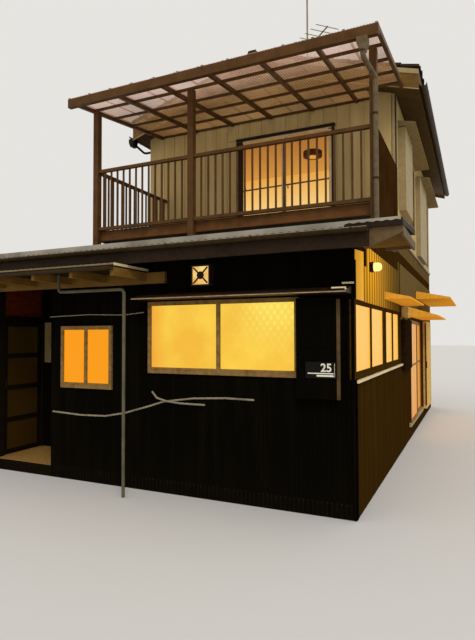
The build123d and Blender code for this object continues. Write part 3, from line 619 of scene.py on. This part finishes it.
# smooth folded sheet at the near corner, lit by the wall lamp, and the strips that close the cladding
cornerSheet = {"start": -4.094, "end": -3.72, "low": 2.004, "out": 2.737, "gap": 0.13}
sheet = slab((2.7305, cornerSheet["start"], 0), (cornerSheet["out"], cornerSheet["end"], 1), 0.001)
finished("cornerSheet", [bend(sheet, lambda co: Vector((
    co.x, co.y, cornerSheet["low"] + co.z * (underLeanTo(co.y) - cornerSheet["gap"] - cornerSheet["low"]))))],
         cornerSteel)
finished("sideSillStrip", [slab((right, front, 1.235), (right + 0.03, -1.0, sill), 0.003)],
         litAluminium)
finished("upperBeltStrip", [slab((right, -1.36, 3.07), (2.752, back, 3.12), 0.004)],
         creamSteel)
finished("backBeltStrip", [slab((-2.728, 4.0955, 2.851), (2.728, 4.106, 3.098), 0.003)],
         sideSteel)
finished("upperCornerTrim", [
    slab((2.694, -1.395, 3.13), (2.752, -1.366, 5.04), 0.003),
    slab((2.732, -1.395, 3.13), (2.752, -1.3, 5.04), 0.003),
], creamSteel)
finished("groundCornerTrim", [
    slab((2.7, -4.108, foot), (2.742, -4.096, sill), 0.002),
    slab((2.731, -4.108, foot), (2.742, -4.06, sill), 0.002),
    slab((2.7, -4.108, 2.004), (2.742, -4.096, 2.36), 0.002),
], blackSteel)
print("cladding done")


def corrugated(name, x0, x1, y0, y1, heightAt, look, material):
    # waves run along Y; the sheet's underside follows heightAt
    waves = max(2, round((x1 - x0) / look["pitch"]))
    deselectAll()
    bpy.ops.mesh.primitive_grid_add(x_subdivisions=waves * 6, y_subdivisions=look["rows"], size=1)
    sheet = bpy.context.active_object
    sheet.scale = (x1 - x0, y1 - y0, 1)
    sheet.location = ((x0 + x1) / 2, (y0 + y1) / 2, 0)

    def wave(co):
        phase = 2 * math.pi * (co.x - x0) / (x1 - x0) * waves
        co.z = heightAt(co.y) + look["depth"] / 2 * (1 - math.cos(phase))
        return co

    thicken(bend(setPlace(sheet), wave), look["thickness"])
    bpy.ops.object.shade_smooth_by_angle(angle=math.radians(50))
    return finished(name, [sheet], material)


lowSheet = {"pitch": 0.076, "depth": 0.018, "thickness": 0.0012, "rows": 4}
for name, x0, x1, y0, y1, height in (
    ("leanToCorrugatedSheet", -2.729, 2.729, -4.494, -1.367, overLeanTo),
    ("cornerReturnSheet", 2.732, 3.204, -4.494, -3.577, overLeanTo),
    ("porchCorrugatedSheet", -2.729, 0.478, -4.694, -4.103, lambda y: 2.381),
):
    corrugated(name, x0, x1, y0, y1, height, lowSheet, roofSteel)

# pale flashing folded over the low roof's front edge: its lower edge follows the waves of the sheet,
# and steps up where the return begins
flashing = {"x0": -2.729, "x1": 3.19, "low": 2.58, "high": 2.634, "out": -4.4975, "waves": 78, "wave": 0.008,
            "step": 0.026}
deselectAll()
bpy.ops.mesh.primitive_grid_add(x_subdivisions=flashing["waves"] * 6, y_subdivisions=1, size=1)
apron = bpy.context.active_object
apron.scale = (flashing["x1"] - flashing["x0"], flashing["high"] - flashing["low"], 1)
apron.rotation_euler.x = math.radians(90)
apron.location = ((flashing["x0"] + flashing["x1"]) / 2, flashing["out"],
                  (flashing["low"] + flashing["high"]) / 2)


def wavyFoot(co):
    phase = 2 * math.pi * (co.x - flashing["x0"]) / (flashing["x1"] - flashing["x0"]) * flashing["waves"]
    if co.z >= flashing["low"] + 0.001:
        return 0
    return flashing["wave"] * (1 - math.cos(phase)) / 2 + (flashing["step"] if co.x > right else 0)


thicken(lift(setPlace(apron), wavyFoot), 0.001, 0.0)
finished("leanToFrontFlashing", [
    apron, slab((flashing["x0"], -4.497, 2.632), (flashing["x1"], -4.44, 2.6335), 0.0005),
], paintCoat("dullZincFlashing", "#a39c8c", "#6d665a", 0.5, grain=0.25))  # cloudy pale grey
finished("lowGutterLip", [slab((-2.729, -4.5735, 2.5605), (2.93, -4.569, 2.5665), 0.001)],
         paintCoat("gutterLipHighlight", "#8f846a", "#6a5f48", 0.6))  # a painted highlight along the gutter's rim
finished("cornerReturnEdge", [
    lift(slab((3.186, -4.494, 0), (3.2045, -3.577, 0.06), 0.002), lambda co: overLeanTo(co.y) - 0.045),
    lift(slab((2.731, -3.592, 0), (3.2045, -3.5765, 0.05), 0.002), lambda co: overLeanTo(co.y) - 0.04),
], trimSteel)
finished("porchEndFlashing", [slab((0.474, -4.694, 2.372), (0.488, -4.1, 2.398), 0.002)],
         litAluminium)
finished("porchFrontFlashing", [slab((-2.729, -4.6985, 2.38), (0.48, -4.6945, 2.396), 0.001)],
         silverAluminium)

# the eave's return at the corner: boards round an open underside, a lit board close under the sheet
r0, r1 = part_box("corner_return_box")
returnFoot = {"inner": 2.405, "outer": 2.515, "x": 2.925, "thick": 0.02}
returnBoards = finished("cornerReturnBoards", [
    bend(slab((returnFoot["x"], r0.y, 0), (r1.x, r0.y + returnFoot["thick"], 1)), lambda co: Vector((
        co.x, co.y, r1.z if co.z > 0.5 else (returnFoot["inner"] if co.x < 3.0 else returnFoot["outer"])))),
    slab((r1.x - 0.02, r0.y + 0.02, 2.49), (r1.x, r1.y, r1.z), 0.001),
    slab((r0.x + 0.2, r1.y - 0.02, 2.505), (r1.x - 0.02, r1.y, r1.z), 0.001),
], returnPaint)
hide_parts("corner_return_box")
# board under the return, brown, with a little of the lamp's light painted on as glow
soffitSteel = bakedSteel("returnSoffitBoard", "#4c3e28", "#584930", "#4c3e28", lampLit=0.07)
finished("returnSoffit", [
    slab((r0.x, r0.y + 0.021, r1.z - 0.03), (r1.x - 0.021, r1.y - 0.021, r1.z - 0.012), 0.001),
], soffitSteel)
print("low roofs done")


def smokedSheet(name):
    # ribbed polycarbonate, smoke brown and glossy, with what lies behind it painted on as colour and glow:
    # the sky's light comes through pinkish in front, and it goes brown towards the wall, painted shade where
    # the dark roof is behind it
    material, shader, add, place = startMaterial(name, {"Roughness": 0.3, "Alpha": 0.5})
    y = add("SeparateXYZ", {"Vector": place}, "Y")
    inward = add("MapRange", [y, -3.3, -2.4])
    slow = add("TexNoise", {"Vector": place, "Scale": 1.6, "Detail": 3.0})
    fine = add("TexNoise", {"Vector": place, "Scale": 20.0, "Detail": 3.0})
    cloudy = add("MapRange", [slow, 0.35, 0.65])
    dusty = add("MapRange", [fine, 0.55, 0.8])
    outer = add("Mix", [cloudy, "#c7a795", "#a98773"])
    inner = add("Mix", [cloudy, "#8c6840", "#705333"])
    tone = add("Mix", [inward, outer, inner])
    colour = add("Mix", [dusty, tone, "#6d5344"])
    setInputs(shader, {"Base Color": colour, "Emission Color": tone, "Emission Strength": 0.7})
    return material


clearSheet = smokedSheet("smokedPolycarbonate")
t0, t1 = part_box("terrace_roof_sheet")
terrace = {"pitch": 0.032, "depth": 0.009, "thickness": 0.0012, "rows": 6, "notch": 0.31, "wall": 2.395}
notchAt = t1.y - terrace["notch"]
clearRoof = corrugated("terraceCorrugatedSheet", t0.x, t1.x, t0.y, notchAt, overTerrace, terrace, clearSheet)
corrugated("terraceSheetAtWall", t0.x, terrace["wall"], notchAt, t1.y, overTerrace, terrace, clearSheet)
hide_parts("terrace_roof_sheet")

# pressing strips that hold the sheet over every rafter, and the small caps of its hook bolts along the beam
pressing = {"width": 0.03, "height": 0.004, "spans": 12, "capPitch": 0.32, "cap": 0.011, "inset": 0.02}
firstRafter, lastRafter = t0.x + pressing["inset"], t1.x - pressing["inset"]
halfStrip = pressing["width"] / 2
strips = []
for index in range(pressing["spans"] + 1):
    x = firstRafter + (lastRafter - firstRafter) * index / pressing["spans"]
    end = notchAt if x > terrace["wall"] else t1.y
    strip = slab((x - halfStrip, t0.y, 0), (x + halfStrip, end, pressing["height"]), 0.001)
    strips.append(lift(strip, lambda co: overTerrace(co.y) + terrace["depth"] + 0.001))
finished("terracePressingStrips", strips, bronzeAluminium)
deselectAll()
bpy.ops.mesh.primitive_uv_sphere_add(segments=12, ring_count=6, radius=pressing["cap"])
cap = bpy.context.active_object
cap.scale.z = 0.8
setPlace(cap)
capHeight = overTerrace(t0.y + 0.03) + terrace["depth"] + 0.003
caps = [copyOf(cap, Matrix.Translation((firstRafter + index * pressing["capPitch"], t0.y + 0.03, capHeight)))
        for index in range(int((lastRafter - firstRafter) / pressing["capPitch"]) + 1)]
remove(cap)
finished("terraceBoltCaps", caps, bronzeAluminium)
print("balcony roof done")

# main roof: wave-shaped clay tiles in courses from eave to ridge, edge tiles at both gables
tile = {"wide": 0.2508, "long": 0.235, "wave": 0.03, "thick": 0.014, "lift": 0.016, "courses": 10,
        "ridge": 0.105}
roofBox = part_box("roof_right")
eaves = ((1, roofBox[1].x), (-1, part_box("roof_left")[0].x))
deselectAll()
bpy.ops.mesh.primitive_grid_add(x_subdivisions=2, y_subdivisions=10, size=1)
tilePattern = bpy.context.active_object
tilePattern.scale = (tile["long"] + 0.03, tile["wide"] + 0.012, 1)
setPlace(tilePattern)
lift(tilePattern, lambda co: tile["wave"] / 2 * (1 + math.sin(2 * math.pi * co.y / tile["wide"]))
     + tile["lift"] * (0.5 + co.x / tile["long"]) + 0.002)
thicken(tilePattern, tile["thick"])
bpy.ops.object.shade_smooth_by_angle(angle=math.radians(50))
tiles = []
for side, eave in eaves:
    reach = (abs(eave - roof["ridge"]) - tile["ridge"]) / tile["courses"]
    size = Matrix.Diagonal((reach * math.hypot(1, roof["slope"]) / tile["long"], 1, 1, 1))
    tip = Matrix.Rotation(math.atan(roof["slope"]) * side, 4, "Y")
    if side < 0:
        tip = tip @ Matrix.Rotation(math.pi, 4, "Z")
    for course in range(tile["courses"]):
        x = roof["ridge"] + side * (tile["ridge"] + reach * (course + 0.5))
        for row in range(int((roofBox[1].y - roofBox[0].y) / tile["wide"])):
            y = roofBox[0].y + tile["wide"] * (row + 0.5)
            tiles.append(copyOf(tilePattern, Matrix.Translation((x, y, overRoof(x))) @ tip @ size))
remove(tilePattern)
finished("roofTiles", tiles, kilnTile)

# edge tiles: each course ends in a block that hangs over the gable board, stepped like the courses
edgeTiles = []
for y0, y1 in ((roofBox[0].y - 0.043, roofBox[0].y + 0.03), (roofBox[1].y - 0.03, roofBox[1].y + 0.024)):
    for side, eave in eaves:
        reach = (abs(eave - roof["ridge"]) - tile["ridge"]) / tile["courses"]
        for course in range(tile["courses"]):
            inner = tile["ridge"] + reach * course
            low, high = sorted((roof["ridge"] + side * inner, roof["ridge"] + side * (inner + reach + 0.012)))
            middle = roof["ridge"] + side * (inner + reach / 2)
            edgeTiles.append(lift(slab((low, y0, 0.012), (high, y1, 0.052), 0.006), lambda co: overRoof(co.x)
                                  + tile["lift"] * (co.x - middle) * side / reach))
finished("roofEdgeTiles", edgeTiles, kilnTile)

# pale strips on the front gable that follow both roof slopes
gableFront = roofBox[0].y - 0.025
for name, out, drop, height, bevel in (("vergePaleStrip", 0.008, 0.072, 0.068, 0.003),
                                       ("vergeFootStrip", 0.006, 0.278, 0.014, 0.002)):
    strips = []
    for side, eave in eaves:
        low, high = sorted((roof["ridge"], eave))
        strip = slab((low, gableFront - out, -drop), (high, gableFront, height - drop), bevel)
        strips.append(lift(strip, lambda co: overRoof(co.x)))
    finished(name, strips, creamSteel)


def openTube(radius, length, sides, place=(0, 0, 0), turn=0.0):
    # a round wall without ends
    deselectAll()
    bpy.ops.mesh.primitive_cylinder_add(vertices=sides, radius=radius, depth=length, end_fill_type="NOTHING",
                                        location=place, rotation=(turn, 0, 0))
    return setPlace(bpy.context.active_object)


def halfBand(radius):
    # a strap bent round the lower half of a gutter that runs along Y
    band = openTube(radius, strap["width"], 24, turn=math.pi / 2)
    for thing in (*band.data.polygons, *band.data.edges):
        thing.select = False
    for corner in band.data.vertices:
        corner.select = corner.co.z > 0.001
    bpy.ops.object.mode_set(mode="EDIT")
    bpy.ops.mesh.delete(type="VERT")
    bpy.ops.object.mode_set(mode="OBJECT")
    return thicken(band, strap["thick"])


# straps under the gutters of the eaves and of the low front roof
strap = {"width": 0.02, "thick": 0.003, "pitch": 0.9, "eave": 0.05, "low": 0.038}
straps = []
eaveStrap = halfBand(strap["eave"])
for side, eave in eaves:
    under = roof["under"] + roof["slope"] * (roof["half"] - abs(eave - roof["ridge"]))
    y = roofBox[0].y + 0.3
    while y < roofBox[1].y:
        place = (eave + side * strap["eave"], y, under + strap["eave"])
        straps.append(copyOf(eaveStrap, Matrix.Translation(place)))
        y += strap["pitch"]
remove(eaveStrap)
lowStrap = halfBand(strap["low"])
x = -2.6
while x < 2.9:
    place = Matrix.Translation((x, -4.495 - strap["low"], 2.565))
    straps.append(copyOf(lowStrap, place @ Matrix.Rotation(math.pi / 2, 4, "Z")))
    x += strap["pitch"]
remove(lowStrap)
finished("gutterStraps", straps, trimSteel)
print("main roof done")


def sashBars(name, nodeName, look, material):
    # bars round every pane, on its outer face
    bars = []
    for low, high in looseBoxes(nodeName):
        flat = 0 if high.y - low.y < high.x - low.x else 1
        out = 1 - flat
        outside = -1 if (flat == 0 and low.y < 0) else 1
        faceAt = low[out] if outside < 0 else high[out]
        near, far = sorted((faceAt + outside * 0.0005, faceAt + outside * look["depth"]))
        inner, outer = low[flat] + look["bar"], high[flat] - look["bar"]
        for a, b, z0, z1 in ((low[flat], inner, low.z, high.z), (outer, high[flat], low.z, high.z),
                             (inner, outer, low.z, low.z + look["foot"]),
                             (inner, outer, high.z - look["bar"], high.z)):
            lowCorner = (a, near, z0) if flat == 0 else (near, a, z0)
            highCorner = (b, far, z1) if flat == 0 else (far, b, z1)
            bars.append(slab(lowCorner, highCorner, 0.0015))
    finished(name, bars, material)


sashBars("groundSashBars", "ground_window_glass", {"bar": 0.005, "foot": 0.026, "depth": 0.011}, sashPaint)
sashBars("upperSashBars", "upper_window_glass", {"bar": 0.012, "foot": 0.03, "depth": 0.011}, silverAluminium)

# crescent latches at the meeting stiles, and the two at the balcony door
latch = {"plate": (0.014, 0.004, 0.06), "lever": 0.011,
         "places": ((-0.353, -4.113, 1.42), (1.3585, -4.113, 1.66), (0.447, -1.384, 3.967),
                    (1.151, -1.384, 3.935))}
latches = []
for x, y, z in latch["places"]:
    w, d, h = latch["plate"]
    latches.append(slab((x - w / 2, y - d, z - h / 2), (x + w / 2, y, z + h / 2), 0.0015))
    latches.append(rod((x, y - d, z), (x, y - d - 0.004, z), latch["lever"], 16))
finished("windowLatches", latches, trimSteel)

# front window hood: a rolled front edge, a pressed line above it and its folded right ends
hood = {"x0": 0.43, "x1": 2.705, "y": -4.341, "z": 2.057, "roll": 0.006}
finished("hoodEdgeRoll", [
    rod((hood["x0"], hood["y"], hood["z"]), (hood["x1"], hood["y"], hood["z"]), hood["roll"], 14),
], paintCoat("hoodEdgeHighlight", "#b89c7a", "#8a6f50", 0.4))  # a painted highlight along the rolled edge
finished("hoodEnds", [
    slab((hood["x1"] - 0.13, -4.343, 2.084), (hood["x1"] - 0.002, -4.33, 2.097), 0.001),
    slab((hood["x1"] - 0.09, -4.12, 2.142), (hood["x1"] + 0.02, -4.1, 2.16), 0.002),
    slab((hood["x1"] - 0.012, -4.341, 2.052), (hood["x1"] - 0.001, -4.3, 2.083), 0.001),
], litAluminium)
c0, c1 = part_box("front_shutter_case")
finished("caseEdgeTrim", [
    slab((c1.x - 0.028, c0.y - 0.004, c0.z), (c1.x + 0.002, c0.y + 0.02, c1.z - 0.02), 0.002),
], paintCoat("brownCaseEdge", "#5a4526", "#45341b", 0.45))  # a brown line on the black
finished("caseLouvres", [slab((c0.x + 0.03, c0.y - 0.003, z), (c1.x - 0.03, c0.y + 0.002, z + 0.01), 0.001)
                         for z in (1.12, 1.55, 1.96)], blackSteel)

# lantern: opal pane behind a dark disc and four bars
lantern = {"disc": 0.04, "bar": 0.017, "rim": 0.016}
lx, ly, lz = 1.1795, -4.195, 2.2875
l0, l1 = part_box("lantern_case")
finished("lanternPane", [slab((l0.x + lantern["rim"], ly + 0.006, l0.z + lantern["rim"]),
                              (l1.x - lantern["rim"], ly + 0.012, l1.z - lantern["rim"]), 0.001)],
         lanternGlass)
lanternParts = [rod((lx, ly - 0.001, lz), (lx, ly + 0.008, lz), lantern["disc"], 32)]
for turn in (45, 135, 225, 315):
    reach = Matrix.Rotation(math.radians(turn), 4, "Y") @ Vector((l1.x - lx - 0.02, 0, 0)) * 1.32
    end = (lx + reach.x, ly + 0.003, lz + reach.z)
    lanternParts.append(rod((lx, ly + 0.003, lz), end, lantern["bar"] / 2, 12))
finished("lanternGrille", lanternParts, trimSteel)

# number plate: raised plain digits over a long bar, a short bar under it and an upright line at the right
plate = {"digits": "25", "size": 0.105, "stroke": 0.0022,
         "lines": ((0.02, 0.262, 0.04, 0.05), (0.105, 0.262, 0.016, 0.032), (0.27, 0.273, 0.012, 0.138))}
px, py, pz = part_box("house_number_plate")[0]
deselectAll()
bpy.ops.object.text_add(location=(px + 0.142, py, pz + 0.062), rotation=(math.radians(90), 0, 0))
digits = bpy.context.active_object
digits.data.body = plate["digits"]
digits.data.size = plate["size"]
digits.data.extrude = 0.001
digits.data.offset = plate["stroke"]
pick(digits)
bpy.ops.object.convert(target="MESH")
plateParts = [setPlace(bpy.context.active_object)]
for x0, x1, z0, z1 in plate["lines"]:
    plateParts.append(slab((px + x0, py - 0.001, pz + z0), (px + x1, py + 0.002, pz + z1), 0.0005))
finished("plateDigits", plateParts, whiteEnamel)

# thin cable on the black wall, level with the window head
cable = {"radius": 0.005, "y": -4.107,
         "points": ((-0.925, 1.90), (-0.343, 1.917), (0.167, 1.904), (0.43, 1.928))}
finished("wallCable", [rod((x0, cable["y"], z0), (x1, cable["y"], z1), cable["radius"], 8)
                       for (x0, z0), (x1, z1) in zip(cable["points"], cable["points"][1:])],
         conduitPlastic)

# entrance: pale panel on the back wall of the recess, a flat pull on the glazed leaf
finished("recessPanel", [slab((-1.812, -3.312, 1.302), (-1.695, -3.3025, 1.86), 0.002)],
         paintCoat("paleRecessPanel", "#937c50", "#7a663f", 0.7))  # a sandy patch in the dark
finished("entryPull", [slab((-1.8495, -3.945, 0.98), (-1.844, -3.925, 1.12), 0.002)],
         trimSteel, "entry_door")

# side door: flat pulls on both leaves, the red stile of the shutter case with its handle
finished("nearLeafPull", [slab((2.7555, -0.035, 1.05), (2.7575, -0.012, 1.17), 0.0008)],
         trimSteel, "side_door_near")
finished("farLeafPull", [slab((2.7205, 1.92, 1.05), (2.7215, 1.943, 1.17), 0.0004)],
         trimSteel, "side_door_far")
finished("caseRedStile", [
    slab((2.8, 2.008, 0.3), (2.822, 2.024, 1.9), 0.002),
    slab((2.822, 2.0, 1.02), (2.834, 2.024, 1.16), 0.004),
], paintCoat("shadedRedStile", "#4d0f05", "#3a0b04", 0.45))  # deep red, darkened with painted shade

# rain pipe straps and the drip edges of the balcony board
pipe = {"x": 2.777, "y": -3.2123, "radius": 0.0275, "width": 0.022, "heights": (3.35, 4.05)}
finished("rainPipeStraps", [
    thicken(openTube(pipe["radius"], pipe["width"], 28, (pipe["x"], pipe["y"], z)), strap["thick"])
    for z in pipe["heights"]
], trimSteel)
f0, f1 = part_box("balcony_fascia")
finished("fasciaDrip", [
    slab((f0.x - 0.003, f0.y - 0.006, f1.z - 0.012), (2.725, f0.y, f1.z), 0.002),
    slab((f0.x - 0.003, f0.y - 0.004, f0.z), (2.725, f0.y, f0.z + 0.01), 0.002),
], bronzeAluminium)
print("windows and fittings done")


def glowingLining(name, tones, glows, strength, axis, ends):
    # painted lining with the room's lamp on it: it goes from one tone to the other along an axis
    material, shader, add, place = startMaterial(name, {"Roughness": 0.8})
    along = add("SeparateXYZ", {"Vector": place}, axis)
    share = add("MapRange", [along, ends[0], ends[1]])
    tone, glow = [add("Mix", [share, pair[0], pair[1]])
                  for pair in (tones, glows)]
    fine = add("TexNoise", {"Vector": place, "Scale": 6.0, "Detail": 5.0})
    setInputs(shader, {"Base Color": tone, "Emission Color": glow, "Emission Strength": strength,
                       "Normal": add("Bump", {"Height": fine, "Distance": 0.002})})
    return material


# upper room seen through the balcony door: boarded ceiling, lit plaster and a round ceiling lamp
room = {"low": (-1.24, -1.24, 3.105), "high": (2.605, 1.3, 4.98), "joists": 8, "pitch": 0.455}
(rx0, ry0, rz0), (rx1, ry1, rz1) = room["low"], room["high"]
# ceiling boards, brown by the window and golden over the lamp, the lamp's light painted on as glow
ceilingBoards = glowingLining("litCeilingBoards", ("#4a2c10", "#5a3814"), ("#a05f24", "#dc9a44"), 1.0,
                              "Y", (ry0, ry1))
# plaster, pale yellow low on the wall and amber near the ceiling, the lamp's light painted on as glow
litPlaster = glowingLining("litPlaster", ("#5a4420", "#4a3010"), ("#ffdc8c", "#e8a648"), 1.2, "Z", (4.1, rz1))
ceilingParts = [slab((rx0, ry0, rz1), (rx1, ry1, rz1 + 0.012), 0.002)]
for index in range(room["joists"]):
    x = rx0 + 0.45 + index * room["pitch"]
    ceilingParts.append(slab((x, ry0 + 0.01, rz1 - 0.008), (x + 0.02, ry1 - 0.02, rz1 + 0.004), 0.002))
finished("upperRoomCeiling", ceilingParts, ceilingBoards)
finished("upperRoomLining", [
    slab((rx0, ry1 - 0.012, rz0), (rx1, ry1, rz1), 0.002),
    slab((rx0, ry0, rz0), (rx0 + 0.012, ry1 - 0.02, rz1), 0.002),
], litPlaster)
ceilingLamp = {"x": 1.09, "y": 0.15, "radius": 0.17, "disc": 0.085, "drop": 0.09}
lampFoot = rz1 - ceilingLamp["drop"]
for name, low, high, radius, sides, material, slot in (
    ("ceilingLampShade", lampFoot, rz1 - 0.001, ceilingLamp["radius"], 40,
     paintCoat("wovenLampShade", "#5a2f10", "#43220a", 0.7), "dark_metal"),  # red-brown weave, unlit outside
    ("ceilingLampDisc", lampFoot - 0.012, lampFoot + 0.001, ceilingLamp["disc"], 32, shadeGlow, "lamp_glass"),
):
    x, y = ceilingLamp["x"], ceilingLamp["y"]
    finished(name, [rod((x, y, low), (x, y, high), radius, sides)], material)
# clear float glass of the upper floor, faintly brown, its reflections a little wavy
clearGlass, glassShader, addToGlass, glassPlace = startMaterial("clearFloatGlass", {
    "Roughness": 0.02, "IOR": 1.5, "Alpha": 0.12, "Base Color": "#6a4a20"})
ripple = addToGlass("TexNoise", {"Vector": glassPlace, "Scale": 2.5})
setInputs(glassShader, {"Normal": addToGlass("Bump", {"Height": ripple, "Distance": 0.0004})})
dress(clearGlass, "upper_window_glass")

# balcony door: dark outer jambs, a pale inner one with the room's light painted on as a highlight, the
# shutter's head rail and the towel bar across it
door = {"left": 0.295, "face": -1.396, "low": 3.105, "head": 4.742}
x0, y0, z0, z1 = door.values()
finished("balconyDoorJambs", [
    slab((x0 - 0.002, y0 - 0.006, z0), (x0 + 0.112, y0 + 0.012, z1), 0.002),
    slab((1.832, y0 - 0.006, z0), (1.882, y0 + 0.012, z1), 0.002),
    slab((x0 - 0.004, y0 - 0.03, 4.752), (1.886, y0 + 0.028, 4.786), 0.003),
], trimSteel)
finished("balconyDoorStiles", [
    slab((1.79, y0 - 0.004, z0 + 0.01), (1.83, y0 + 0.012, z1 - 0.01), 0.002),
    slab((1.056, y0 - 0.003, z0 + 0.01), (1.108, y0 + 0.002, z1 - 0.01), 0.001),
    slab((x0 - 0.002, y0 - 0.004, 4.706), (1.884, y0 + 0.02, z1), 0.002),
], litAluminium)
finished("balconyDoorBar", [rod((0.33, -1.335, 3.97), (1.835, -1.335, 3.998), 0.012, 14)],
         conduitPlastic)
print("upper room and balcony door done")

# plain pale stage, soft studio light and the camera at the photo's angle
stageMaterial = startMaterial("paleStageFloor", {"Roughness": 0.9, "Base Color": "#d8d5cf"})[0]
deselectAll()
bpy.ops.mesh.primitive_plane_add(size=160, location=(0, 0, -0.002))
stageFloor = bpy.context.active_object
stageFloor.name = "stageFloor"
stageFloor.data.materials.append(stageMaterial)

world = bpy.data.worlds.new("softStudio")
bpy.context.scene.world = world
world.use_nodes = True
addToWorld = partial(addNode, world.node_tree)
background = world.node_tree.nodes["Background"]
setInputs(background, {"Color": "#f2f3f5", "Strength": 0.85})
direct = addToWorld("LightPath", out="Is Camera Ray")
for ray in ("Is Glossy Ray", "Is Transmission Ray"):
    direct = addToWorld("Math", [direct, addToWorld("LightPath", out=ray)], operation="MAXIMUM")
plain = addToWorld("Background", {"Color": "#e6e4e0", "Strength": 1.0})
both = addToWorld("MixShader", [direct, background.outputs["Background"], plain])
setInputs(world.node_tree.nodes["World Output"], {"Surface": both})

sunLight = bpy.data.lights.new("softSun", "SUN")
sunLight.energy = 1.1
sunLight.angle = math.radians(25)
sunLight.color = (1.0, 0.95, 0.88)
sun = bpy.data.objects.new("softSun", sunLight)
sun.rotation_euler = (math.radians(48), 0, math.radians(38))
bpy.context.scene.collection.objects.link(sun)

lens = {"place": (3.734, -8.815, 1.673), "yaw": 24.815, "pitch": 1.706, "roll": -0.131, "focal": 29.14}
yaw, pitch, roll = (math.radians(lens[key]) for key in ("yaw", "pitch", "roll"))
forward = Vector((-math.sin(yaw) * math.cos(pitch), math.cos(yaw) * math.cos(pitch), math.sin(pitch)))
rightFlat = Vector((math.cos(yaw), math.sin(yaw), 0))
upFlat = rightFlat.cross(forward)
rightHand = math.cos(roll) * rightFlat + math.sin(roll) * upFlat
upHand = math.cos(roll) * upFlat - math.sin(roll) * rightFlat
cameraData = bpy.data.cameras.new("photoCamera")
cameraData.lens = lens["focal"]
cameraData.sensor_width = 36
camera = bpy.data.objects.new("photoCamera", cameraData)
axes = zip(rightHand, upHand, -forward, lens["place"])
camera.matrix_world = Matrix([*axes, (0, 0, 0, 1)])
bpy.context.scene.collection.objects.link(camera)
bpy.context.scene.camera = camera
bpy.context.scene.view_settings.view_transform = "Standard"
